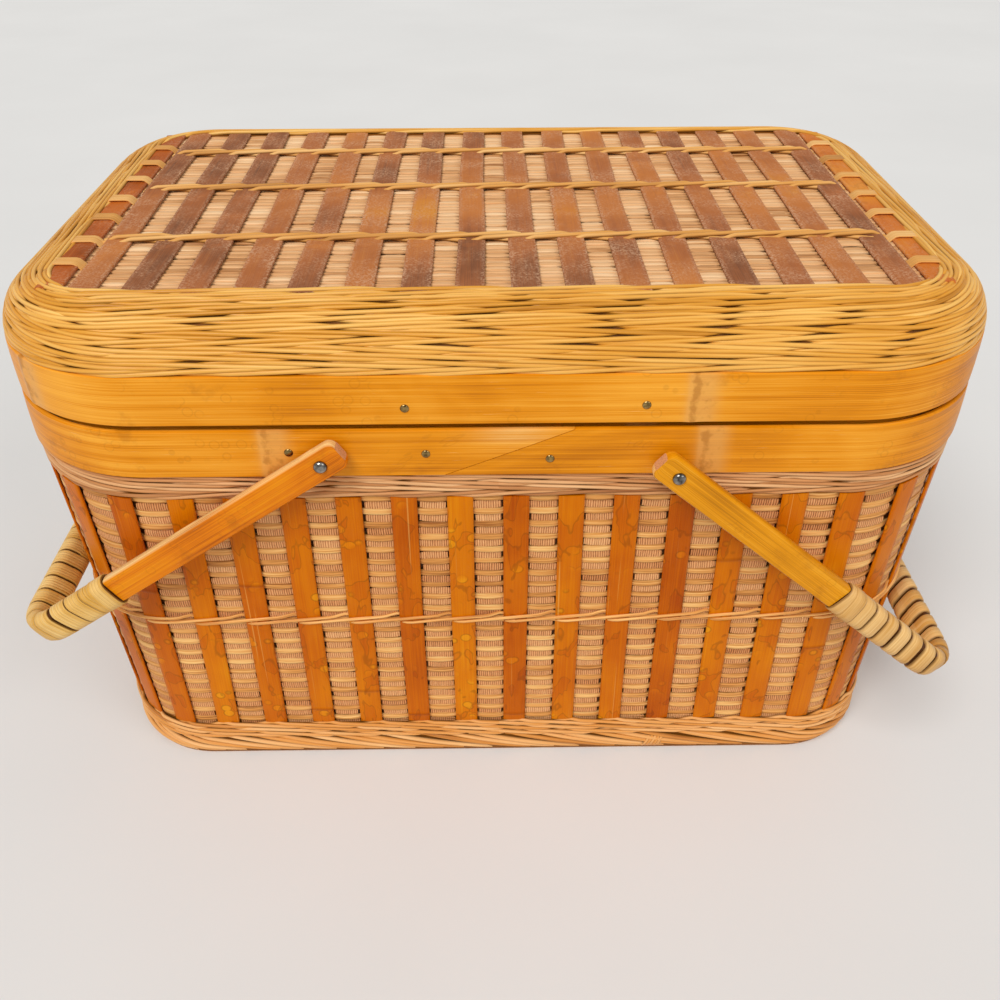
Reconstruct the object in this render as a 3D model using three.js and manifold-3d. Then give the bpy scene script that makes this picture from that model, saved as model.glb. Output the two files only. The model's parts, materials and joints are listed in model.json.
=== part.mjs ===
// Woven picnic basket with bamboo hoops, a lid on two wire rings and two swinging handles.
// Millimetres, +Z up. The origin is on the floor under the middle of the basket. The front is -Y,
// the lid turns about its back edge, and the handles hang over the two short ends.
import * as THREE from "three";
import { mergeVertices } from "three/addons/utils/BufferGeometryUtils.js";
import Module from "manifold-3d";

const wasm = await Module();
wasm.setup();

// Rim: the outer face of the hoops, and the gap that pieces keep where they touch
const rimHalfLength = 230;
const rimHalfDepth = 147;
const rimCorner = 72;
const fit = 0.3;

// Layers of the rim, from outside to inside: hoop, weave, hoop
const hoopThickness = 3;
const weaveThickness = 2.4;

// Heights of the body
const hoopHeight = 24;
const bodyHoopBottom = 210;
const seamGap = 3;
const collarHeight = 13;
const footHeight = 27.7;
const twineHeight = 114;

// Taper of the wall from the hoop down to the floor
const endTaper = 12;
const sideTaper = 19;
const cornerTaper = 22;
const taperBelowHoop = 2;

// Foot border and floor of the basket
const footLedge = 3.5;
const footLedgeReach = 10;
const footSpread = 3.4;
const footBeads = 5;
const basePanelThickness = 3;

// Twined rows: how far the strands stand out
const beadHeight = 0.9;
const beadShoulder = 0.3;
const collarThickness = 1.4;
const collarBeads = 4;

// Flat slats round the wall, held by one twined row. The first lies beside the middle of the front.
const wallSlatCount = 50;
const firstWallSlat = 8.4;
const wallSlatWidth = 12.2;
const wallSlatThickness = 1.4;
const twineRowHeight = 5;
const twineRowProud = 2;
const twineBite = 0.5;

// Lid: flat panel, rounded twined border, slats and rows across
const borderWidth = 31;
const borderHeight = 27;
const borderThickness = 3;
const borderBeads = 9;
const panelCorner = 24;
const lidSlatCount = 16;
const lidSlatPitch = 24;
const lidSlatWidth = 13;
const lidSlatThickness = 1.5;
const edgeSlatWidth = 10.4;
const edgeSlatGap = 0.6;
const lidTwineWidth = 4;
const lidTwineThickness = 1.8;
const lidTwineRows = { front: -56.6, middle: 15.1, back: 76.6 };

// Scarf where the ends of a hoop meet: a long slanted cut
const scarfLength = 59;
const scarfMiddle = 4.5;
const scarfGap = 0.5;

// Nails through the rim, as distances from the middle and shares of the hoop's height
const nailHead = { radius: 2, height: 1 };
const nailShank = { radius: 0.8, length: 8.4 };
const bodyFrontNails = [
  { x: -93, share: 0.55 },
  { x: -32.3, share: 0.5 },
  { x: 23, share: 0.37 },
];
const lidFrontNails = [
  { x: -40.4, share: 0.35 },
  { x: 64, share: 0.38 },
];
const rearNails = [
  { x: -110, share: 0.5 },
  { x: 110, share: 0.5 },
];

// Wire rings that hinge the lid
const ringRadius = 11;
const ringWire = 0.9;
const ringClearance = 0.35;
const ringX = 48;

// Handles: a bent bamboo bow on two rivets, wrapped in flat cane round the grip
const armThickness = 6;
const armWidth = 14.5;
const armEnd = 11;
const armEndRound = 3.5;
const armEdge = 0.8;
const armClearance = 3;
const bowBend = 22;
const leftHandle = { pivotX: 78, pivotZ: 221.5, overhang: 36, wrapStart: 128 };
const rightHandle = { pivotX: 80, pivotZ: 213.5, overhang: 50, wrapStart: 112 };
const gripRestGap = 0.4;
const wrapLoops = 24;
const wrapGap = 1.6;
const wrapThickness = 1.1;
const wrapFit = 0.6;
const wrapCorner = 0.7;
const rivet = { radius: 1.8, head: 3.1, headHeight: 2, clench: 3.4, clenchFlat: 2.4, clenchHeight: 1.2 };

// Smoothness
const cornerSteps = 5;
const bendSteps = 6;
const shoulderSteps = 6;
const ringSteps = 20;
const wireSides = 6;
const nailSides = 8;
const rivetSides = 12;

// Places worked out from the sizes above
const weaveOuter = -hoopThickness - fit;
const weaveInner = weaveOuter - weaveThickness;
const innerHoopOuter = weaveInner - fit;
const innerHoopInner = innerHoopOuter - hoopThickness;
const bodyHoopTop = bodyHoopBottom + hoopHeight;
const lidHoopBottom = bodyHoopTop + seamGap;
const lidHoopTop = lidHoopBottom + hoopHeight;
const hingeZ = bodyHoopTop + seamGap / 2;
const shoulderZ = lidHoopTop + fit;
const panelTop = shoulderZ + borderHeight - borderThickness - fit;
const slatBottom = panelTop + fit;
const slatTop = slatBottom + lidSlatThickness;
const wallBottom = footLedge + fit;
const collarBottom = bodyHoopBottom - fit - collarHeight;
const taperTop = bodyHoopBottom - taperBelowHoop;
const twineFace = fit + wallSlatThickness + twineRowProud;
const wrapBuild = wrapFit + wrapThickness;
const armMiddle = rimHalfDepth + armClearance + armThickness / 2;
const holeLength = 4 * -innerHoopInner;

// Solids for cutting and joining
function solidOf(geometry) {
  const loose = geometry.index ? geometry.toNonIndexed() : geometry;
  const bare = new THREE.BufferGeometry();
  bare.setAttribute("position", loose.getAttribute("position"));
  const merged = mergeVertices(bare, 1e-4);
  const vertProperties = new Float32Array(merged.getAttribute("position").array);
  const triVerts = new Uint32Array(merged.index.array);
  return new wasm.Manifold(new wasm.Mesh({ numProp: 3, vertProperties, triVerts }));
}

function geometryOf(solid) {
  const mesh = solid.getMesh();
  const geometry = new THREE.BufferGeometry();
  geometry.setAttribute("position", new THREE.BufferAttribute(mesh.vertProperties, 3));
  geometry.setIndex(new THREE.BufferAttribute(mesh.triVerts, 1));
  return geometry;
}

function cut(geometry, cutters) {
  let solid = solidOf(geometry);
  for (const cutter of cutters) solid = solid.subtract(solidOf(cutter));
  return geometryOf(solid);
}

function join(geometries) {
  let solid = solidOf(geometries[0]);
  for (const other of geometries.slice(1)) solid = solid.add(solidOf(other));
  return geometryOf(solid);
}

function common(geometry, other) {
  return geometryOf(solidOf(geometry).intersect(solidOf(other)));
}

// Skin through rows of points. A ring's last row joins its first, and an open loft is capped.
function loft(rows, ring = false) {
  const across = rows[0].length;
  const triangles = [];
  const rowLinks = ring ? rows.length : rows.length - 1;
  for (let i = 0; i < rowLinks; i++) {
    const here = i * across;
    const next = ((i + 1) % rows.length) * across;
    for (let j = 0; j < across; j++) {
      const k = (j + 1) % across;
      triangles.push(here + j, here + k, next + k, here + j, next + k, next + j);
    }
  }
  if (!ring) {
    const last = (rows.length - 1) * across;
    for (let j = 1; j < across - 1; j++) {
      triangles.push(0, j + 1, j, last, last + j, last + j + 1);
    }
  }
  return facingOut(rows.flat(), triangles);
}

// A closed surface from points and triangles, turned so that its faces point outwards.
function facingOut(points, triangles) {
  let volume = 0;
  for (let i = 0; i < triangles.length; i += 3) {
    const [a, b, c] = triangles.slice(i, i + 3).map((n) => new THREE.Vector3(...points[n]));
    volume += a.dot(b.cross(c));
  }
  const geometry = new THREE.BufferGeometry();
  geometry.setAttribute("position", new THREE.Float32BufferAttribute(points.flat(), 3));
  geometry.setIndex(volume < 0 ? triangles.toReversed() : triangles);
  return geometry;
}

// Rounded rectangle: four sides, each followed by its corner, seen from above and starting in front
function sideOf(side, halfLength, halfDepth, corner) {
  const turn = (side * Math.PI) / 2;
  const heading = [Math.round(Math.cos(turn)), Math.round(Math.sin(turn))];
  const normal = [heading[1], -heading[0]];
  const straight = 2 * ((side % 2 ? halfDepth : halfLength) - corner);
  const reach = side % 2 ? halfLength : halfDepth;
  return { heading, normal, straight, reach };
}

function cornerPoint({ heading, normal, straight, reach }, corner, angle) {
  const facing = [0, 1].map((n) => normal[n] * Math.cos(angle) + heading[n] * Math.sin(angle));
  const middle = [0, 1].map((n) => (heading[n] * straight) / 2 + normal[n] * (reach - corner));
  return { place: [0, 1].map((n) => middle[n] + corner * facing[n]), facing };
}

function outline({ halfLength, halfDepth, corner }) {
  const points = [];
  for (let side = 0; side < 4; side++) {
    const stretch = sideOf(side, halfLength, halfDepth, corner);
    for (let i = 0; i <= cornerSteps; i++) {
      points.push(cornerPoint(stretch, corner, ((i / cornerSteps) * Math.PI) / 2).place);
    }
  }
  return points;
}

// Spots evenly spaced round an outline, the first at a distance from the middle of the front. A spot
// is a share of a straight side, or an angle on the corner after it. The same spot on outlines at
// two heights makes one straight line on the wall.
function spotsRound(size, count, first) {
  const arc = (size.corner * Math.PI) / 2;
  const round = 4 * (size.halfLength + size.halfDepth - 2 * size.corner + arc);
  const spots = [];
  for (let i = 0; i < count; i++) {
    spots.push(spotAlong(size, (first + (i * round) / count) % round));
  }
  return spots;
}

function spotAlong({ halfLength, halfDepth, corner }, distance) {
  const straights = [0, 1, 2, 3, 4].map((n) => sideOf(n % 4, halfLength, halfDepth, corner).straight);
  const arc = (corner * Math.PI) / 2;
  let left = distance + straights[0] / 2;
  let side = 0;
  while (left > straights[side] + arc) {
    left -= straights[side] + arc;
    side += 1;
  }
  const along = Math.min(left / straights[side], 1) - 0.5;
  const angle = Math.max(left - straights[side], 0) / corner;
  return { side, along, angle };
}

function placeOn({ halfLength, halfDepth, corner }, { side, along, angle }) {
  const stretch = sideOf(side, halfLength, halfDepth, corner);
  if (angle > 0) return cornerPoint(stretch, corner, angle);
  const { heading, normal, straight, reach } = stretch;
  const place = [0, 1].map((n) => heading[n] * along * straight + normal[n] * reach);
  return { place, facing: normal };
}

function row(size, z) {
  return outline(size).map(([x, y]) => [x, y, z]);
}

// Outline of the rim at a distance from the hoops' outer face. On the lid's shoulder the corner
// tightens towards the panel.
function rimSize(offset) {
  const beyond = Math.max(0, weaveOuter - offset);
  const tightening = (rimCorner + weaveOuter - panelCorner) / (borderWidth + weaveOuter);
  return {
    halfLength: rimHalfLength + offset,
    halfDepth: rimHalfDepth + offset,
    corner: rimCorner + Math.max(offset, weaveOuter) - beyond * tightening,
  };
}

function hoopSize(offset) {
  return {
    halfLength: rimHalfLength + offset,
    halfDepth: rimHalfDepth + offset,
    corner: rimCorner + offset,
  };
}

// Outline of the wall's outer face at a height, with a distance that a piece stands proud of it.
function wallSize(z, proud) {
  const drop = Math.max(0, taperTop - z) / taperTop;
  return {
    halfLength: rimHalfLength + weaveOuter - endTaper * drop + proud,
    halfDepth: rimHalfDepth + weaveOuter - sideTaper * drop + proud,
    corner: rimCorner + weaveOuter - cornerTaper * drop + proud,
  };
}

function wallRow(z, proud) {
  return row(wallSize(z, proud), z);
}

// Rounded strands side by side along a profile. place gives the wall of the profile at a share of
// its length and a distance out from it.
function beads(count, place) {
  const points = [];
  for (let i = 0; i < count; i++) {
    points.push(place(i / count, 0));
    points.push(place((i + beadShoulder) / count, beadHeight));
    points.push(place((i + 1 - beadShoulder) / count, beadHeight));
  }
  points.push(place(1, 0));
  return points;
}

// Body
function basePanelGeometry() {
  const inside = -weaveThickness - fit;
  const top = wallBottom + basePanelThickness;
  const lower = wallSize(wallBottom, inside);
  return loft([row(lower, wallBottom), row(lower, top)]);
}

function bodyWallGeometry() {
  const top = bodyHoopTop - fit;
  const rows = [
    wallRow(wallBottom, 0),
    wallRow(taperTop, 0),
    wallRow(top, 0),
    wallRow(top, -weaveThickness),
    wallRow(taperTop, -weaveThickness),
    wallRow(wallBottom, -weaveThickness),
  ];
  return cut(loft(rows, true), [...ringCutters(), ...bodyNailHoles(), ...rivetHoles()]);
}

function wallSlatsGeometry() {
  const bottom = footHeight + fit;
  const top = collarBottom - fit;
  const slats = [];
  for (const spot of spotsRound(wallSize(twineHeight, fit), wallSlatCount, firstWallSlat)) {
    const rows = [bottom, top].map((z) => {
      const { place, facing } = placeOn(wallSize(z, fit), spot);
      const edges = [-wallSlatWidth / 2, wallSlatWidth / 2];
      const [near, far] = edges.map((e) => [place[0] - facing[1] * e, place[1] + facing[0] * e]);
      const out = facing.map((n) => n * wallSlatThickness);
      return [
        [...near, z],
        [...far, z],
        [far[0] + out[0], far[1] + out[1], z],
        [near[0] + out[0], near[1] + out[1], z],
      ];
    });
    slats.push(loft(rows));
  }
  return join([wallTwineGeometry(), ...slats]);
}

// The twined row that holds the slats: two strands, one above the other.
function wallTwineGeometry() {
  const seat = fit + wallSlatThickness - twineBite;
  const bottom = twineHeight - twineRowHeight / 2;
  const front = beads(2, (share, out) =>
    wallRow(bottom + share * twineRowHeight, twineFace - beadHeight + out),
  );
  return loft([wallRow(bottom, seat), ...front, wallRow(bottom + twineRowHeight, seat)], true);
}

function footBorderGeometry() {
  const front = beads(footBeads, (share, out) => {
    const spread = footSpread - beadHeight * share;
    return wallRow(footHeight * share, spread - beadHeight + out);
  });
  const rows = [
    ...front,
    wallRow(footHeight, fit),
    wallRow(footLedge, fit),
    wallRow(footLedge, -weaveThickness - footLedgeReach),
    wallRow(0, -weaveThickness - footLedgeReach),
  ];
  return loft(rows, true);
}

function collarGeometry() {
  const front = beads(collarBeads, (share, out) =>
    wallRow(collarBottom + share * collarHeight, collarThickness + out),
  );
  const top = collarBottom + collarHeight;
  const back = [top, taperTop, collarBottom].map((z) => wallRow(z, fit));
  return loft([...front, ...back], true);
}

function hoopGeometry(outer, bottom, top) {
  const inner = outer - hoopThickness;
  const rows = [
    row(hoopSize(outer), bottom),
    row(hoopSize(outer), top),
    row(hoopSize(inner), top),
    row(hoopSize(inner), bottom),
  ];
  return loft(rows, true);
}

// A thin slanted blade that parts the ends of a hoop. side is -1 for the front and 1 for the back.
function scarfCutter(bottom, side) {
  const past = 2;
  const slope = hoopHeight / scarfLength;
  const lean = Math.atan(slope);
  const blade = new THREE.BoxGeometry(
    Math.hypot(scarfLength, hoopHeight) + 4 * past,
    hoopThickness + 2 * past,
    scarfGap,
  );
  blade.rotateY(side * lean);
  blade.translate(-side * scarfMiddle, side * (rimHalfDepth - hoopThickness / 2), bottom + hoopHeight / 2);
  return blade;
}

// Rim fastenings
function nailPlaces(list, side, bottom) {
  return list.map(({ x, share }) => ({ x, side, z: bottom + share * hoopHeight }));
}

const bodyNailPlaces = {
  front: nailPlaces(bodyFrontNails, -1, bodyHoopBottom),
  rear: nailPlaces(rearNails, 1, bodyHoopBottom),
};
const lidNailPlaces = {
  front: nailPlaces(lidFrontNails, -1, lidHoopBottom),
  rear: nailPlaces(rearNails, 1, lidHoopBottom),
};
const rivetPlaces = [
  { name: "left_front_rivet", x: -leftHandle.pivotX, side: -1, z: leftHandle.pivotZ },
  { name: "left_rear_rivet", x: -leftHandle.pivotX, side: 1, z: leftHandle.pivotZ },
  { name: "right_front_rivet", x: rightHandle.pivotX, side: -1, z: rightHandle.pivotZ },
  { name: "right_rear_rivet", x: rightHandle.pivotX, side: 1, z: rightHandle.pivotZ },
];

function rimHole({ x, side, z }, radius, sides) {
  const hole = new THREE.CylinderGeometry(radius, radius, holeLength, sides);
  hole.translate(x, side * rimHalfDepth, z);
  return hole;
}

function nailHoles(places) {
  const all = [...places.front, ...places.rear];
  return all.map((place) => rimHole(place, nailShank.radius + fit, nailSides));
}

function bodyNailHoles() {
  return nailHoles(bodyNailPlaces);
}

function lidNailHoles() {
  return nailHoles(lidNailPlaces);
}

function rivetHoles() {
  return rivetPlaces.map((place) => rimHole(place, rivet.radius + fit, rivetSides));
}

function ringGeometry(x, wire) {
  const ring = new THREE.TorusGeometry(ringRadius, wire, wireSides, ringSteps);
  ring.rotateY(Math.PI / 2);
  ring.translate(x, rimHalfDepth, hingeZ);
  return ring;
}

function ringCutters() {
  return [-ringX, ringX].map((x) => ringGeometry(x, ringWire + ringClearance));
}

// Domed head with its shank, standing on the axis that the lathe turns about.
function headProfile(radius, height, seat) {
  const steps = 3;
  const points = [];
  for (let i = 0; i <= steps; i++) {
    const angle = ((i / steps) * Math.PI) / 2;
    points.push(new THREE.Vector2(radius * Math.cos(angle), seat + height * Math.sin(angle)));
  }
  points[steps].x = 0;
  return points;
}

function nailGeometry() {
  const profile = [
    new THREE.Vector2(0, -nailShank.length),
    new THREE.Vector2(nailShank.radius, -nailShank.length),
    new THREE.Vector2(nailShank.radius, fit),
    ...headProfile(nailHead.radius, nailHead.height - fit, fit),
  ];
  return new THREE.LatheGeometry(profile, nailSides);
}

function rivetGeometry() {
  const seat = armClearance + armThickness + fit;
  const clenchTop = innerHoopInner - fit;
  const profile = [
    new THREE.Vector2(0, clenchTop - rivet.clenchHeight),
    new THREE.Vector2(rivet.clenchFlat, clenchTop - rivet.clenchHeight),
    new THREE.Vector2(rivet.clench, clenchTop - rivet.clenchHeight / 2),
    new THREE.Vector2(rivet.clench, clenchTop),
    new THREE.Vector2(rivet.radius, clenchTop),
    new THREE.Vector2(rivet.radius, seat),
    ...headProfile(rivet.head, rivet.headHeight, seat),
  ];
  return new THREE.LatheGeometry(profile, rivetSides);
}

// Lid
function shoulderPoint(angle, inset) {
  const length = borderWidth - inset;
  const height = borderHeight - inset;
  return [-borderWidth + length * Math.cos(angle), shoulderZ + height * Math.sin(angle)];
}

function shoulderRow(angle, inset) {
  const [offset, z] = shoulderPoint(angle, inset);
  return row(rimSize(offset), z);
}

function lidBorderGeometry() {
  const outer = beads(borderBeads, (share, out) =>
    shoulderRow((share * Math.PI) / 2, beadHeight - out),
  );
  const underside = [];
  for (let i = shoulderSteps; i >= 0; i--) {
    underside.push(shoulderRow(((i / shoulderSteps) * Math.PI) / 2, borderThickness));
  }
  return loft([...outer, ...underside], true);
}

function lidPanelGeometry() {
  const top = panelTop - shoulderZ;
  const arch = (inset) => {
    const rows = [];
    for (let i = shoulderSteps; i >= 0; i--) {
      const angle = ((i / shoulderSteps) * Math.PI) / 2;
      const width = borderWidth + weaveOuter - inset;
      const offset = -borderWidth + width * Math.cos(angle);
      rows.push(row(rimSize(offset), shoulderZ + (top - inset) * Math.sin(angle)));
    }
    return rows;
  };
  const outer = [...arch(0), row(rimSize(weaveOuter), lidHoopBottom + fit)];
  const inner = [...arch(weaveThickness), row(rimSize(weaveInner), lidHoopBottom + fit)];
  return cut(loft([...outer, ...inner.toReversed()]), [...ringCutters(), ...lidNailHoles()]);
}

// The part of the panel inside the border, as a block that trims what lies on the panel.
function panelBlock() {
  const size = rimSize(-borderWidth - fit);
  return loft([row(size, panelTop), row(size, panelTop + borderHeight)]);
}

function lidSlatPlaces() {
  const places = [];
  for (let i = 0; i < lidSlatCount; i++) {
    places.push({ x: (i - (lidSlatCount - 1) / 2) * lidSlatPitch, width: lidSlatWidth });
  }
  const last = places[lidSlatCount - 1].x + (lidSlatWidth + edgeSlatWidth) / 2 + edgeSlatGap;
  return [{ x: -last, width: edgeSlatWidth }, ...places, { x: last, width: edgeSlatWidth }];
}

function lidSlatGeometry({ x, width }, block) {
  const slat = new THREE.BoxGeometry(width, 2 * rimHalfDepth, lidSlatThickness);
  slat.translate(x, 0, slatBottom + lidSlatThickness / 2);
  return common(slat, block);
}

function lidTwineGeometry(y, block) {
  const bottom = slatTop + fit;
  const half = lidTwineWidth / 2;
  const strands = beads(2, (share, out) => [
    y - half + share * lidTwineWidth,
    bottom + lidTwineThickness - beadHeight + out,
  ]);
  const section = [[y - half, bottom], ...strands, [y + half, bottom]];
  const rows = [-rimHalfLength, rimHalfLength].map((x) => section.map(([v, z]) => [x, v, z]));
  return common(loft(rows), block);
}

// Handles, drawn about the pivot with the arms along +X
function bowReach(handle) {
  return rimHalfLength - handle.pivotX + handle.overhang;
}

function bowGeometry(handle) {
  const reach = bowReach(handle);
  const half = armThickness / 2;
  const bendX = reach - bowBend;
  const bendY = armMiddle - bowBend;
  const plan = new THREE.Shape();
  plan.moveTo(-armEnd, -armMiddle - half);
  plan.absarc(bendX, -bendY, bowBend + half, -Math.PI / 2, 0, false);
  plan.absarc(bendX, bendY, bowBend + half, 0, Math.PI / 2, false);
  plan.lineTo(-armEnd, armMiddle + half);
  plan.lineTo(-armEnd, armMiddle - half);
  plan.absarc(bendX, bendY, bowBend - half, Math.PI / 2, 0, true);
  plan.absarc(bendX, -bendY, bowBend - half, 0, -Math.PI / 2, true);
  plan.lineTo(-armEnd, -armMiddle + half);
  const bow = new THREE.ExtrudeGeometry(plan, {
    depth: armWidth - 2 * armEdge,
    curveSegments: bendSteps,
    bevelEnabled: true,
    bevelThickness: armEdge,
    bevelSize: armEdge,
    bevelOffset: -armEdge,
    bevelSegments: 1,
  });
  bow.translate(0, 0, -armWidth / 2 + armEdge);
  const bore = new THREE.CylinderGeometry(rivet.radius + fit, rivet.radius + fit, 4 * armMiddle, rivetSides);
  return geometryOf(solidOf(bow).intersect(solidOf(armSideView(reach))).subtract(solidOf(bore)));
}

// The bow seen from the front: the arms' free ends have rounded corners.
function armSideView(reach) {
  const half = armWidth / 2;
  const far = reach + armThickness;
  const side = new THREE.Shape();
  side.moveTo(far, -half);
  side.lineTo(far, half);
  side.lineTo(-armEnd + armEndRound, half);
  side.absarc(-armEnd + armEndRound, half - armEndRound, armEndRound, Math.PI / 2, Math.PI, false);
  side.absarc(-armEnd + armEndRound, -half + armEndRound, armEndRound, Math.PI, (3 * Math.PI) / 2, false);
  const depth = 4 * armMiddle;
  const block = new THREE.ExtrudeGeometry(side, { depth, curveSegments: 3, bevelEnabled: false });
  block.rotateX(Math.PI / 2);
  block.translate(0, depth / 2, 0);
  return block;
}

// The bow's middle line from the front arm round to the rear arm, with its outward direction.
function bowPath(handle) {
  const reach = bowReach(handle);
  const arm = reach - bowBend - handle.wrapStart;
  const arc = (bowBend * Math.PI) / 2;
  const grip = 2 * (armMiddle - bowBend);
  const bend = (middleY, angle) => ({
    place: [reach - bowBend + bowBend * Math.cos(angle), middleY + bowBend * Math.sin(angle)],
    out: [Math.cos(angle), Math.sin(angle)],
  });
  const at = (s) => {
    if (s <= arm) return { place: [handle.wrapStart + s, -armMiddle], out: [0, -1] };
    if (s <= arm + arc) return bend(-grip / 2, (s - arm) / bowBend - Math.PI / 2);
    if (s <= arm + arc + grip) return { place: [reach, s - arm - arc - grip / 2], out: [1, 0] };
    if (s <= arm + 2 * arc + grip) return bend(grip / 2, (s - arm - arc - grip) / bowBend);
    return { place: [handle.wrapStart + 2 * arm + 2 * arc + grip - s, armMiddle], out: [0, 1] };
  };
  return { at, length: 2 * (arm + arc) + grip };
}

// Corners of the wrap's section, going round the bow: outward and upward distances.
function wrapCorners(offset) {
  const wide = armThickness / 2 + offset;
  const tall = armWidth / 2 + offset;
  const flatWide = armThickness / 2 - wrapCorner;
  const flatTall = armWidth / 2 - wrapCorner;
  return [
    [wide, -flatTall],
    [wide, flatTall],
    [flatWide, tall],
    [-flatWide, tall],
    [-wide, flatTall],
    [-wide, -flatTall],
    [-flatWide, -tall],
    [flatWide, -tall],
  ];
}

// One flat cane strip wound round the bow in a helix.
function wrapGeometry(handle, name) {
  const path = bowPath(handle);
  const pitch = path.length / (wrapLoops + 1);
  const width = pitch - wrapGap;
  const across = 2;
  const layers = [wrapCorners(wrapBuild), wrapCorners(wrapFit)];
  const steps = layers[0].length;
  const point = (layer, step, share) => {
    const [outward, up] = layers[layer][step % steps];
    const s = width / 2 + (pitch * step) / steps + (share - 0.5) * width;
    const { place, out } = path.at(s);
    return [place[0] + out[0] * outward, place[1] + out[1] * outward, up];
  };
  const shares = [...Array(across + 1).keys()].map((n) => n / across);
  const rows = [];
  for (let step = 0; step <= wrapLoops * steps; step++) {
    const top = shares.map((share) => point(0, step, share));
    const under = shares.toReversed().map((share) => point(1, step, share));
    rows.push([...top, ...under]);
  }
  printLeastGap(rows, steps, across, name);
  return strip(rows, across);
}

// The skin of a wound strip. Each face is split along its shorter diagonal, which keeps clear of the bow.
function strip(rows, across) {
  const round = rows[0].length;
  const triangles = [];
  for (let i = 0; i < rows.length - 1; i++) {
    for (let j = 0; j < round; j++) {
      const [a, b] = [i * round + j, i * round + ((j + 1) % round)];
      const [c, d] = [b + round, a + round];
      if (j <= across) triangles.push(a, b, d, b, c, d);
      else triangles.push(a, b, c, a, c, d);
    }
  }
  const last = (rows.length - 1) * round;
  for (let j = 0; j < across; j++) {
    const opposite = round - 1 - j;
    triangles.push(j, opposite - 1, j + 1, j, opposite, opposite - 1);
    triangles.push(last + j, last + j + 1, last + opposite - 1);
    triangles.push(last + j, last + opposite - 1, last + opposite);
  }
  return facingOut(rows.flat(), triangles);
}

// Least distance between the trailing edge of a loop and the leading edge of the next one.
function printLeastGap(rows, steps, across, name) {
  let least = Infinity;
  for (let i = 0; i + steps < rows.length; i++) {
    const edge = new THREE.Vector3(...rows[i][across]);
    for (let k = i; k < Math.min(i + 2 * steps, rows.length - 1); k++) {
      const line = new THREE.Line3(new THREE.Vector3(...rows[k][0]), new THREE.Vector3(...rows[k + 1][0]));
      if (k - i < steps / 2) continue;
      const near = line.closestPointToPoint(edge, true, new THREE.Vector3());
      least = Math.min(least, near.distanceTo(edge));
    }
  }
  console.log(name + ": least gap between loops " + least.toFixed(2) + " mm");
}

// Angle below level at which the lower inner edge of the wrapped grip comes to lie on the end wall's
// twined row.
function restAngle(handle) {
  const floorSize = wallSize(0, twineFace).halfLength;
  const slope = endTaper / taperTop;
  const inner = bowReach(handle) - armThickness / 2 - wrapBuild;
  const lower = armWidth / 2 + wrapBuild;
  const radius = Math.hypot(inner, lower);
  const away = floorSize + slope * handle.pivotZ + gripRestGap - handle.pivotX;
  const edgeAngle = Math.atan(slope) + Math.acos(away / (radius * Math.hypot(1, slope)));
  return edgeAngle - Math.atan2(lower, inner);
}

// Materials
function finish(color, roughness, metalness = 0) {
  return new THREE.MeshStandardMaterial({ color, roughness, metalness });
}

const honeyCane = finish(0xd9963f, 0.55);
const paleCane = finish(0xd8b27a, 0.65);
const amberBamboo = finish(0xd98a1e, 0.4);
const stainedSlat = finish(0xb5591a, 0.42);
const weatheredSlat = finish(0x9a5a33, 0.7);
const caneWrap = finish(0xdcb45c, 0.5);
const steel = finish(0x9a958c, 0.35, 0.9);
const darkBrass = finish(0x6b5a3c, 0.4, 0.8);

function piece(name, geometry, material) {
  const mesh = new THREE.Mesh(geometry, material);
  mesh.name = name;
  return mesh;
}

function faced(mesh, { x, side, z }) {
  mesh.position.set(x, side * rimHalfDepth, z);
  mesh.rotation.z = side < 0 ? Math.PI : 0;
  return mesh;
}

function nails(prefix, places) {
  const made = [];
  for (const [where, list] of Object.entries(places)) {
    list.forEach((place, i) => {
      made.push(faced(piece(`${prefix}_${where}_nail_${i + 1}`, nailGeometry(), darkBrass), place));
    });
  }
  return made;
}

function basket() {
  const group = new THREE.Group();
  const bodyHoop = hoopGeometry(0, bodyHoopBottom, bodyHoopTop);
  const bodyInnerHoop = hoopGeometry(innerHoopOuter, bodyHoopBottom, lidHoopBottom - fit);
  const bodyHoles = [...ringCutters(), ...bodyNailHoles(), ...rivetHoles()];
  const scarf = scarfCutter(bodyHoopBottom, -1);
  group.add(piece("base_panel", basePanelGeometry(), paleCane));
  group.add(piece("body_wall", bodyWallGeometry(), paleCane));
  group.add(piece("wall_slats", wallSlatsGeometry(), stainedSlat));
  group.add(piece("foot_border", footBorderGeometry(), honeyCane));
  group.add(piece("collar_weave", collarGeometry(), paleCane));
  group.add(piece("body_outer_hoop", cut(bodyHoop, [scarf, ...bodyHoles]), amberBamboo));
  group.add(piece("body_inner_hoop", cut(bodyInnerHoop, bodyHoles), amberBamboo));
  for (const place of rivetPlaces) group.add(faced(piece(place.name, rivetGeometry(), steel), place));
  group.add(...nails("body", bodyNailPlaces));
  group.add(piece("left_hinge_ring", ringGeometry(-ringX, ringWire), steel));
  group.add(piece("right_hinge_ring", ringGeometry(ringX, ringWire), steel));
  return group;
}

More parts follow.
